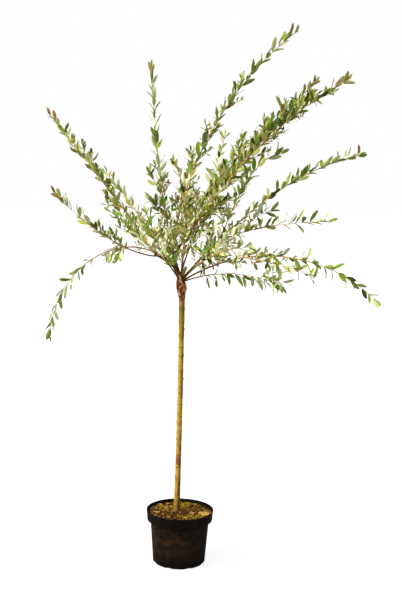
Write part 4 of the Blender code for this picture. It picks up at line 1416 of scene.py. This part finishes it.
SHOOT_MOODS = {
    "centre": {"leafy": 4, "plain": 3, "soft": 4},
    "steep_right": {"shade": 6, "leafy": 3},
    "upper_right": {"shade": 3, "leafy": 4, "plain": 3},
    "high_right": {"shade": 3, "leafy": 3, "plain": 3, "dappled": 1},
    "long_right": {"shade": 4, "leafy": 4},
    "level_right": {"shade": 3, "soft": 4},
    "weeping_right": {"shade": 8, "leafy": 3},
    "low_right": {"shade": 6, "fresh": 3, "soft": 2},
    "high_left": {"shade": 1, "leafy": 4, "plain": 4},
    "left_back": {"plain": 2, "dappled": 5, "soft": 4},
    "back_left": {"plain": 2, "dappled": 5, "cream": 3, "soft": 2},
    "front_left": {"plain": 2, "dappled": 5, "cream": 3, "soft": 2},
    "inner_left": {"plain": 3, "dappled": 5, "cream": 2},
    "mid_left": {"leafy": 4, "soft": 4, "dappled": 1},
    "weeping_left": {"leafy": 3, "soft": 5, "dappled": 1},
    "left_front": {"fresh": 4, "plain": 2},
    "front_right": {"dappled": 3, "soft": 4, "plain": 3},
}
print(len(MOODS), "moods, and", len(SHOOT_MOODS), "shoots with a mix of their own")

# %% The moods of the tips, and how a mood is drawn
TIPS = {
    "centre": "tip", "low_right": "fresh", "weeping_left": "shade", "upper_right": "dark_tip",
    "steep_right": "dark_tip", "high_right": "dark_tip", "long_right": "green_tip",
    "weeping_right": "shade",
}
BRONZE_RISE = 15


def drawn(chance, weights):
    """Draws one name from a table of names and weights."""
    return chance.choices(list(weights), list(weights.values()))[0]


def moods_for(shoot, share, chance):
    """The moods that a spray may have, by its shoot and by how far out along it the spray is."""
    if shoot.name in SHOOT_MOODS:
        return SHOOT_MOODS[shoot.name]
    return OUTER_MOODS if chance.random() < share else INNER_MOODS


def tip_mood(shoot):
    """The mood of a shoot's newest leaves: bronze on rising shoots, and green on the others."""
    return TIPS.get(shoot.name, "tip" if shoot.tip_rise > BRONZE_RISE else "green_tip")


print("tips:", {shoot.name: tip_mood(shoot) for shoot in SHOOTS if shoot.bare < shoot.length})

# %% [markdown]
# ## Leaves in pairs
#
# Willow leaves of this kind stand in opposite pairs, and each pair is turned a right angle to
# the last. A particle system would scatter them, but the real order is what makes the shoots
# look alive. Each leaf opens from its twig, lifts towards the light on rising shoots, hangs on
# drooping ones, and turns its upper side to the sky and to the twig's tip.

# %% Place one leaf
DROOP, LIFT_RANGE = -0.30, 1.05
DROOP_RISE, FULL_LIFT_SPAN = -25, 35
HANG_PULL = 1.6
LIFT_PULL = 0.7
FACE_LOOSE = 0.5
TO_TIP, TO_SKY = 0.6, 0.4
WIDTHS = (0.88, 1.16)


def away_from(tangent, turn):
    """The direction straight out from a twig, at a turn round it."""
    return Matrix.Rotation(turn, 3, tangent) @ tangent.orthogonal().normalized()


def leaf_lift(rise):
    """How strongly leaves lift on a twig that rises at this angle, below zero for a droop."""
    share = (math.degrees(rise) - DROOP_RISE) / FULL_LIFT_SPAN
    return DROOP + LIFT_RANGE * min(1.0, max(0.0, share))


def place_leaf(point, tangent, turn, opening, length, hang, kind, loose, chance):
    """Adds one leaf of a kind, with its foot on the twig."""
    outward = away_from(tangent, turn)
    lift = leaf_lift(math.asin(max(-1.0, min(1.0, tangent.z)))) - HANG_PULL * hang
    heading = tangent * math.cos(opening) + outward * math.sin(opening)
    astray = Vector([chance.gauss(0, loose) for _ in range(3)])
    heading = (heading + Vector((0, 0, LIFT_PULL * lift)) + astray).normalized()
    about = Vector([chance.gauss(0, FACE_LOOSE) for _ in range(3)])
    face = tangent * TO_TIP + Vector((0, 0, TO_SKY)) + about
    face = (face - heading * face.dot(heading)).normalized()
    width = length * chance.uniform(*WIDTHS)
    side = heading.cross(face)
    matrix = Matrix((side * width, heading * length, face * length)).transposed().to_4x4()
    template = chance.choice(leaf_templates)
    leaves[kind].add(template, turned_copy(template, Matrix.Translation(point) @ matrix))


print("leaves lift", round(leaf_lift(math.radians(60)), 2), "on a steep shoot and",
      round(leaf_lift(math.radians(-60)), 2), "on a drooping one")

# %% Hang a row of pairs on a twig
MOOD_PAIRS = 4
MISSING_LEAVES = 0.05
TIP_LENGTH = 0.075
BARE_TIP = 0.008
LAST_LEAF = 0.004
LAST_OPENING, LAST_SIZE = 0.15, 0.7
FOOT_SIZE, TIP_SHRINK = 0.57, 0.17
OPENING = 52


def leaf_row(line, length, first, gaps, size, hang, moods, tip, chance, closing=12, loose=0.4):
    """Pairs of leaves along a twig, each a right angle from the last, and a leaf at its tip."""
    distance, order = first, 0
    start_turn = chance.uniform(0, math.tau)
    mood = drawn(chance, moods)
    while distance < length - BARE_TIP:
        share = (distance - first) / max(0.01, length - first)
        if order % MOOD_PAIRS == 0:
            mood = drawn(chance, moods)
        point, tangent = along(line, distance)
        turn = start_turn + order * math.pi / 2 + math.radians(chance.uniform(-22, 22))
        fullness = min(1.0, FOOT_SIZE + share) * (1 - TIP_SHRINK * share**3)
        for half in (0, math.pi):
            if chance.random() < MISSING_LEAVES:
                continue
            opening = math.radians(OPENING - closing * share + chance.uniform(-11, 11))
            new = tip and length - distance < TIP_LENGTH * chance.uniform(0.3, 1.2)
            kind = drawn(chance, MOODS[tip if new else mood])
            leaf = size * fullness * chance.uniform(0.84, 1.14)
            place_leaf(point, tangent, turn + half, opening, leaf, hang, kind, loose, chance)
        gap = gaps[0] + (gaps[1] - gaps[0]) * share
        distance += gap * chance.uniform(0.8, 1.2)
        order += 1
    point, tangent = along(line, length - LAST_LEAF)
    kind = drawn(chance, MOODS[tip or mood])
    place_leaf(point, tangent, start_turn, LAST_OPENING, size * LAST_SIZE, hang, kind, loose,
               chance)


print("leaves open by", OPENING, "degrees at a twig's foot")

# %% [markdown]
# ## Twigs, from the boughs to the finest
#
# Every mass of leaves in the solids becomes a leading twig that grows on from its bough, its
# forks, and side twigs that are more numerous and finer than a solid could hold. They thin
# towards their tips, and a value stored along them turns old brown bark to tan and to red-brown.
# A grade says how thick a twig is at its foot, how young it is from foot to tip, and how many
# sides and rings it needs. The finer the twig, the fewer faces it gets.

# %% Make one twig
Grade = namedtuple("Grade", "piece radius young sides step")
LEADING = Grade("main", TWIG_FOOT, (0.0, 1.0), 7, 0.007)
FORKED = Grade("main", 0.0019, (0.25, 1.0), 6, 0.007)
SIDE = Grade("side", 0.0018, (0.3, 0.85), 5, 0.008)
OF_SPRAY = Grade("side", 0.0014, (0.3, 0.9), 5, 0.008)
FINE = Grade("side", 0.0013, (0.5, 0.9), 4, 0.008)
TIP_RADIUS = 0.0009
THINNING = 0.8
WANDER, WANDER_PACE = 0.0009, 70
twig_piece = {"main": Joined("leading_twigs"), "side": Joined("side_twigs")}
youth = {"main": [], "side": []}


def add_twig(grade, line, first, last, chance):
    """One tapering twig along part of a line, with a slight wander, and its youth along it."""
    count = max(4, round((last - first) / grade.step))
    distances = np.linspace(first, last, count)
    share = (distances - first) / (last - first)
    phase = [chance.uniform(0, math.tau) for _ in range(3)]
    wander = np.stack([np.sin(distances * WANDER_PACE + part) for part in phase], axis=1) * WANDER
    points = resample(line, distances) + wander * np.sin(share * math.pi)[:, None]
    limb = ringed_cylinder(count, grade.sides)
    radii = grade.radius + (TIP_RADIUS - grade.radius) * share**THINNING
    twig_piece[grade.piece].add(limb.template, carried(limb, points, radii))
    foot, tip = grade.young
    youth[grade.piece].append((foot + (tip - foot) * share)[limb.ring])


print("twigs are", round(2000 * FINE.radius, 1), "to", round(2000 * LEADING.radius, 1), "mm thick")

# %% [markdown]
# ## Side twigs
#
# Short leafy twigs leave a shoot all round, each turned some way on from the last one, and the
# longest of them carry a finer one. They get shorter towards the shoot's tip, and keep clear of
# the fork of the stem, where the photograph shows bare boughs.

# %% Side twigs along a shoot
OPENINGS = (32, 52)
LIGHTWARD = Vector((0, 0, 0.22))
TWIG_BEND = 0.35
SIDE_GAP_ALONG = 0.039
CROWN_FOOT = Vector((-0.0175, 0, 1.03))
CLEAR_OF_FOOT = 0.125
BRONZE_SIDES = 0.08
SIDE_LENGTH = 0.120
LENGTH_SPREAD = (0.55, 1.15)
SIDE_TURNS = (95, 165)
CARRIES_FINE = 0.085
SIDE_FIRST, SIDE_GAPS, SIDE_LEAF = 0.012, (0.012, 0.016), 0.032
FINE_FIRST, FINE_GAPS, FINE_LEAF = 0.008, (0.010, 0.013), 0.027


def side_line(point, tangent, turn, length, chance):
    """A side twig's line: it leaves at an angle, and turns up a little towards the light."""
    opening = math.radians(chance.uniform(*OPENINGS))
    outward = away_from(tangent, turn)
    heading = tangent * math.cos(opening) + outward * math.sin(opening) + LIGHTWARD
    heading.normalize()
    bend = Vector((chance.uniform(-1, 1), chance.uniform(-1, 1), chance.uniform(-0.2, 1.4)))
    count = max(4, round(length / FINE_STEP))
    points = [point]
    for _ in range(count):
        heading = (heading + bend * (TWIG_BEND / count)).normalized()
        points.append(points[-1] + heading * (length / count))
    return np.array(points)


def side_twigs(shoot, line, first, last, reach, chance):
    """Short leafy twigs along a shoot, with finer ones on the longest of them."""
    distance = first
    turn = chance.uniform(0, math.tau)
    while distance < last:
        share = (distance - first) / (last - first)
        point, tangent = along(line, distance)
        distance += SIDE_GAP_ALONG * chance.uniform(0.75, 1.3)
        if (point - CROWN_FOOT).length < CLEAR_OF_FOOT:
            continue
        length = SIDE_LENGTH * (1.0 - 0.6 * share) * chance.uniform(*LENGTH_SPREAD) * reach
        turn += math.radians(chance.uniform(*SIDE_TURNS))
        moods = moods_for(shoot, 0.3 + 0.5 * share, chance)
        twig = side_line(point, tangent, turn, length, chance)
        add_twig(SIDE, twig, 0, length, chance)
        tip = tip_mood(shoot) if chance.random() < BRONZE_SIDES else None
        leaf_row(twig, length, SIDE_FIRST, SIDE_GAPS, SIDE_LEAF, shoot.hang, moods, tip, chance)
        if length > CARRIES_FINE:
            point, tangent = along(twig, length * chance.uniform(0.3, 0.6))
            short = length * chance.uniform(0.4, 0.6)
            fine = side_line(point, tangent, chance.uniform(0, math.tau), short, chance)
            add_twig(FINE, fine, 0, short, chance)
            leaf_row(fine, short, FINE_FIRST, FINE_GAPS, FINE_LEAF, shoot.hang, moods, None,
                     chance)


longest = SIDE_LENGTH * LENGTH_SPREAD[1]
print("a side twig every", SIDE_GAP_ALONG, "m, at most", round(longest, 3), "m long")

# %% [markdown]
# ## Sprays of their own
#
# The rule alone leaves some places emptier than they are in the photograph: the young leaves
# before the leader, the close middle of the crown, and clusters along the outer shoots. Each
# gets a leafy twig of its own, with its place on the shoot, direction, length, leaf and mood.

# %% List the sprays
Spray = namedtuple("Spray", "shoot start azimuth rise tip_rise length bend leaf hang mood")
SPRAYS = [
    # The young leaves before the leader: their kind is partly painted light, lighter to make up for
    # the crown's shadow on them.
    Spray("centre", 0.056, -130, 35, 10, 0.036, 1.0, 0.046, 0.0, "young"),
    Spray("centre", 0.064, -150, 45, 30, 0.040, 1.0, 0.046, 0.0, "young"),
    Spray("centre", 0.062, -95, 30, 10, 0.030, 1.0, 0.046, 0.0, "young"),
    Spray("centre", 0.074, -60, 45, 25, 0.036, 1.0, 0.042, 0.0, "young"),
    Spray("centre", 0.048, -110, 40, 20, 0.030, 1.0, 0.044, 0.0, "young"),
    Spray("centre", 0.072, -170, 50, 40, 0.036, 1.0, 0.044, 0.0, "young"),
    Spray("centre", 0.235, 190, 45, 40, 0.090, 1.0, 0.038, 0.0, "leafy"),
    Spray("centre", 0.225, 170, 35, 60, 0.070, 1.0, 0.038, 0.0, "shade"),
    Spray("centre", 0.110, -150, 45, 60, 0.100, 1.0, 0.029, 0.0, "dappled"),
    Spray("centre", 0.130, -90, 40, 60, 0.110, 1.0, 0.029, 0.0, "plain"),
    Spray("centre", 0.150, -40, 45, 60, 0.100, 1.0, 0.029, 0.0, "dappled"),
    Spray("centre", 0.090, -110, 58, 76, 0.120, 1.0, 0.029, 0.0, "plain"),
    Spray("centre", 0.105, 160, 52, 72, 0.120, 1.0, 0.029, 0.0, "shade"),
    Spray("centre", 0.120, 60, 62, 80, 0.120, 1.0, 0.029, 0.0, "plain"),
    Spray("upper_right", 0.070, -100, 55, 35, 0.100, 1.0, 0.029, 0.0, "plain"),
    Spray("upper_right", 0.100, -60, 60, 30, 0.110, 1.0, 0.029, 0.0, "dappled"),
    Spray("centre", 0.095, -35, 60, 28, 0.340, 1.6, 0.030, 0.0, "dappled"),
    Spray("centre", 0.104, 12, 62, 32, 0.340, 1.4, 0.030, 0.0, "plain"),
    Spray("upper_right", 0.050, -6, 50, 30, 0.300, 1.4, 0.030, 0.0, "plain"),
    Spray("front_rise", 0.100, -150, 50, 35, 0.090, 1.0, 0.029, 0.0, "plain"),
    Spray("front_rise", 0.075, 175, 60, 80, 0.110, 1.0, 0.029, 0.0, "shade"),
    Spray("front_rise", 0.110, 5, 60, 50, 0.110, 1.0, 0.029, 0.0, "plain"),
    Spray("front_left", 0.120, -20, 70, 70, 0.120, 1.0, 0.029, 0.0, "plain"),
    Spray("front_left", 0.160, 40, 60, 80, 0.100, 1.0, 0.029, 0.0, "dappled"),
    Spray("left_back", 0.080, 40, 60, 60, 0.110, 1.0, 0.029, 0.0, "plain"),
    Spray("high_left", 0.070, 60, 70, 60, 0.120, 1.0, 0.029, 0.0, "plain"),
    Spray("front_right", 0.120, 100, 60, 40, 0.110, 1.0, 0.029, 0.0, "plain"),
    Spray("inner_left", 0.060, 180, 60, 50, 0.090, 1.0, 0.029, 0.0, "shade"),
    Spray("inner_back", 0.080, -60, 60, 60, 0.100, 1.0, 0.029, 0.0, "plain"),
    Spray("front_rise", 0.130, -30, 50, 30, 0.100, 1.0, 0.029, 0.0, "dappled"),
    Spray("back_rise", 0.090, 190, 62, 74, 0.120, 1.0, 0.029, 0.0, "plain"),
    Spray("long_right", 0.105, -60, -30, -75, 0.045, 1.0, 0.042, 0.8, "shade"),
    Spray("long_right", 0.132, -50, -20, -75, 0.050, 1.0, 0.042, 0.8, "shade"),
    Spray("long_right", 0.120, -85, 20, 0, 0.045, 1.0, 0.042, 0.0, "fresh"),
    Spray("weeping_right", 0.135, 30, 20, -10, 0.090, 1.0, 0.031, 0.1, "dappled"),
    Spray("weeping_right", 0.165, -55, 20, -20, 0.100, 1.0, 0.033, 0.1, "soft"),
    Spray("weeping_right", 0.205, 10, 30, -5, 0.100, 1.0, 0.042, 0.0, "cream"),
    Spray("weeping_right", 0.150, -70, 50, 10, 0.090, 1.0, 0.034, 0.0, "soft"),
    Spray("long_right", 0.120, -40, 15, 0, 0.110, 1.0, 0.031, 0.0, "plain"),
    Spray("long_right", 0.155, 40, 20, 10, 0.110, 1.0, 0.033, 0.0, "dappled"),
    Spray("high_right", 0.150, -20, 40, 15, 0.120, 1.0, 0.033, 0.0, "plain"),
    Spray("high_right", 0.190, 60, 35, 20, 0.120, 1.0, 0.033, 0.0, "dappled"),
    Spray("low_right", 0.325, -30, 15, -20, 0.070, 1.0, 0.048, 0.0, "bright"),
    Spray("low_right", 0.285, -20, 40, -10, 0.090, 1.0, 0.046, 0.0, "bright"),
    Spray("low_right", 0.300, 20, 10, -35, 0.060, 1.0, 0.046, 0.2, "fresh"),
    Spray("upper_right", 0.530, 60, 60, 50, 0.090, 1.0, 0.040, 0.0, "shade"),
    Spray("upper_right", 0.570, -60, 30, 20, 0.090, 1.0, 0.042, 0.0, "shade"),
    Spray("upper_right", 0.600, -100, 75, 50, 0.090, 1.0, 0.042, 0.0, "dark_tip"),
    Spray("upper_right", 0.640, 20, 70, 55, 0.080, 1.0, 0.042, 0.0, "shade"),
    Spray("upper_right", 0.660, -80, 25, 20, 0.070, 1.0, 0.042, 0.0, "leafy"),
    Spray("upper_right", 0.690, -20, 65, 50, 0.060, 1.0, 0.040, 0.0, "dark_tip"),
    Spray("high_left", 0.300, -130, 45, 50, 0.080, 1.0, 0.036, 0.0, "shade"),
    Spray("high_left", 0.360, 120, 60, 50, 0.080, 1.0, 0.036, 0.0, "leafy"),
    Spray("high_left", 0.420, -100, 50, 50, 0.070, 1.0, 0.036, 0.0, "shade"),
    Spray("mid_left", 0.150, 215, -15, -55, 0.075, 1.0, 0.046, 0.2, "bright"),
    Spray("mid_left", 0.135, 250, -20, -60, 0.060, 1.0, 0.044, 0.2, "bright"),
    Spray("mid_left", 0.140, 170, 60, 30, 0.060, 1.0, 0.036, 0.0, "plain"),
    Spray("mid_left", 0.210, 230, 60, 40, 0.060, 1.0, 0.032, 0.0, "dappled"),
    Spray("low_right", 0.092, -60, -30, -75, 0.026, 1.0, 0.044, 0.8, "shade"),
    Spray("low_right", 0.116, -50, -20, -75, 0.028, 1.0, 0.044, 0.8, "shade"),
]
SPRAY_FIRST = 0.010


def hang_spray(spray, line, chance):
    """One leafy twig of its own, where the photograph shows a cluster."""
    twig = grown_line(along(line, spray.start)[0], spray)
    add_twig(OF_SPRAY, twig, 0, spray.length, chance)
    leaf_row(twig, spray.length, SPRAY_FIRST, SIDE_GAPS, spray.leaf, spray.hang,
             {spray.mood: 1}, None, chance)


print(len(SPRAYS), "sprays of their own")

# %% [markdown]
# ## Grow every shoot
#
# Each shoot gets its sprays, then its leading twig with pairs of leaves, its side twigs and its
# forks. What sets the shoots of the photograph apart, such as how long their leaves are and how
# far out they branch, stands in small tables by name, and the rest take the common value. Every
# shoot and every spray has a seed of its own, so a change to one leaves the others as they are.

# %% What sets the shoots apart
SHOOT_SEED, SPRAY_SEED = 900, 700
LEAF_LENGTH = 0.056
LEAF_LENGTHS = {
    "centre": 0.053, "low_right": 0.055, "mid_left": 0.050, "high_left": 0.049,
    "weeping_left": 0.051, "weeping_right": 0.049, "steep_right": 0.058, "long_right": 0.052,
    "left_back": 0.040, "back_rise": 0.047, "back_right": 0.048, "back_left": 0.048,
    "inner_back": 0.047, "high_right": 0.052, "front_right": 0.046, "front_left": 0.046,
    "front_rise": 0.044, "inner_left": 0.046, "left_front": 0.044,
}
SHOOT_GAPS = (0.017, 0.026)
GAPS = {
    "low_right": (0.024, 0.028), "mid_left": (0.016, 0.020), "steep_right": (0.021, 0.029),
    "long_right": (0.019, 0.022),
}
HANGS = {"weeping_right": 0.0, "weeping_left": 0.2}
BARE_FOOT = 0.012
BARE_FEET = {"front_left": 0.050, "left_front": 0.030, "left_back": 0.040, "high_left": 0.030}
CLOSING = 18
CLOSINGS = {"centre": 34, "steep_right": 26, "high_left": 26, "upper_right": 24, "high_right": 24}
LOOSE = 0.15
SIDE_STARTS = {"high_left": 0.22, "left_back": 0.12}
SIDE_END = 0.5
SIDE_ENDS = {
    "upper_right": 0.92, "high_left": 0.86, "steep_right": 0.65, "centre": 0.45,
    "level_right": 0.35, "left_back": 0.30, "long_right": 0.30,
}
print("leaves of", len(LEAF_LENGTHS), "shoots have a length of their own")

# %% Grow the twigs and hang the leaves on them
INTO_BOUGH = 0.004
FORK_FIRST, FORK_SIDE_START = 0.022, 0.020
FORK_LEAF_SHARE, FORK_SIDE_SHARE = 0.92, 0.8
LONG_FORK = 0.2


def grow_forks(shoot, line, leaf, hang, side_end, chance):
    """The forks of a shoot, each with leaves and side twigs of its own."""
    for fork in FORKS:
        if fork.shoot != shoot.name:
            continue
        branch = grown_line(along(line, fork.start)[0], fork)
        add_twig(FORKED, branch, 0, fork.length, chance)
        leaf_row(branch, fork.length, FORK_FIRST, SHOOT_GAPS, leaf * FORK_LEAF_SHARE, hang,
                 {fork.mood: 1}, None if fork.length < LONG_FORK else tip_mood(shoot), chance)
        if shoot.side > 0:
            side_twigs(shoot, branch, FORK_SIDE_START, fork.length * side_end,
                       shoot.side * FORK_SIDE_SHARE, chance)


for number, shoot in enumerate(SHOOTS):
    if shoot.bare >= shoot.length:
        continue
    name, line = shoot.name, lines[shoot.name]
    for order, spray in enumerate(SPRAYS):
        if spray.shoot == name:
            hang_spray(spray, line, random.Random(SPRAY_SEED + order))
    chance = random.Random(SHOOT_SEED + number)
    leaf = LEAF_LENGTHS.get(name, LEAF_LENGTH)
    hang = HANGS.get(name, shoot.hang)
    side_end = SIDE_ENDS.get(name, SIDE_END)
    leading = LEADING._replace(radius=twig_foot(shoot))
    add_twig(leading, line, shoot.bare - INTO_BOUGH, shoot.length, chance)
    leaf_row(line, shoot.length, shoot.bare + BARE_FEET.get(name, BARE_FOOT),
             GAPS.get(name, SHOOT_GAPS), leaf, hang, moods_for(shoot, 0.8, chance),
             tip_mood(shoot), chance, CLOSINGS.get(name, CLOSING), LOOSE)
    if shoot.side > 0:
        side_start = SIDE_STARTS.get(name, shoot.bare * 0.6)
        last = shoot.bare + side_end * (shoot.length - shoot.bare)
        side_twigs(shoot, line, side_start, last, shoot.side, chance)
    grow_forks(shoot, line, leaf, hang, side_end, chance)
print("twigs:", {kind: len(joined.points) for kind, joined in twig_piece.items()})

# %% Finish the twigs
twig_bark, tree, shader, place = new_finish("twig_bark", Roughness=0.6, Specular_IOR_Level=0.3)
young = kept_value(tree, "youth")
by_youth = ramp(tree, young, [
    (0.0, colour(166, 108, 46)), (0.15, colour(212, 152, 76)), (0.55, colour(230, 184, 108)),
    (0.85, colour(200, 160, 84)), (1.0, colour(158, 104, 56)),
])
lenticels = use_group(tree, patches, place, Scale=240.0, From=0.50, To=0.62)
tree.links.new(blend(tree, lenticels, by_youth, colour(172, 122, 60)), shader.inputs["Base Color"])
height = use_group(tree, relief, place, Coarse=400.0, Fine=1500.0, Fine_Share=0.4)
raise_surface(tree, shader, height, 0.0004, 0.5)
for kind, joined in twig_piece.items():
    piece = joined.build([twig_bark], crease=75)
    keep_values(piece, "youth", np.concatenate(youth[kind]))
    finish_piece(piece, nodes=FOLIAGE_NODES)

# %% [markdown]
# ## Finish the leaves
#
# Leaf colour is plain, because the variety lies in the kinds. A leaf is only slightly glossy,
# and its underside is rougher than its face and in most kinds paler.

# %% Build one piece for each kind of leaf
leaf_total = 0
for kind, shades in LEAF_KINDS.items():
    finishes = []
    for part, shade in zip(("face", "splash", "underside"), shades):
        finish = bpy.data.materials.new(f"{kind}_{part}")
        finish.use_nodes = True
        shader = finish.node_tree.nodes["Principled BSDF"]
        shader.inputs["Base Color"].default_value = colour(*shade)
        shader.inputs["Roughness"].default_value = 0.75 if part == "underside" else 0.6
        shader.inputs["Specular IOR Level"].default_value = 0.10
        finishes.append(finish)
    leaf_total += len(leaves[kind].points)
    finish_piece(leaves[kind].build(finishes, crease=60), nodes=FOLIAGE_NODES)
print("leaves in all:", leaf_total)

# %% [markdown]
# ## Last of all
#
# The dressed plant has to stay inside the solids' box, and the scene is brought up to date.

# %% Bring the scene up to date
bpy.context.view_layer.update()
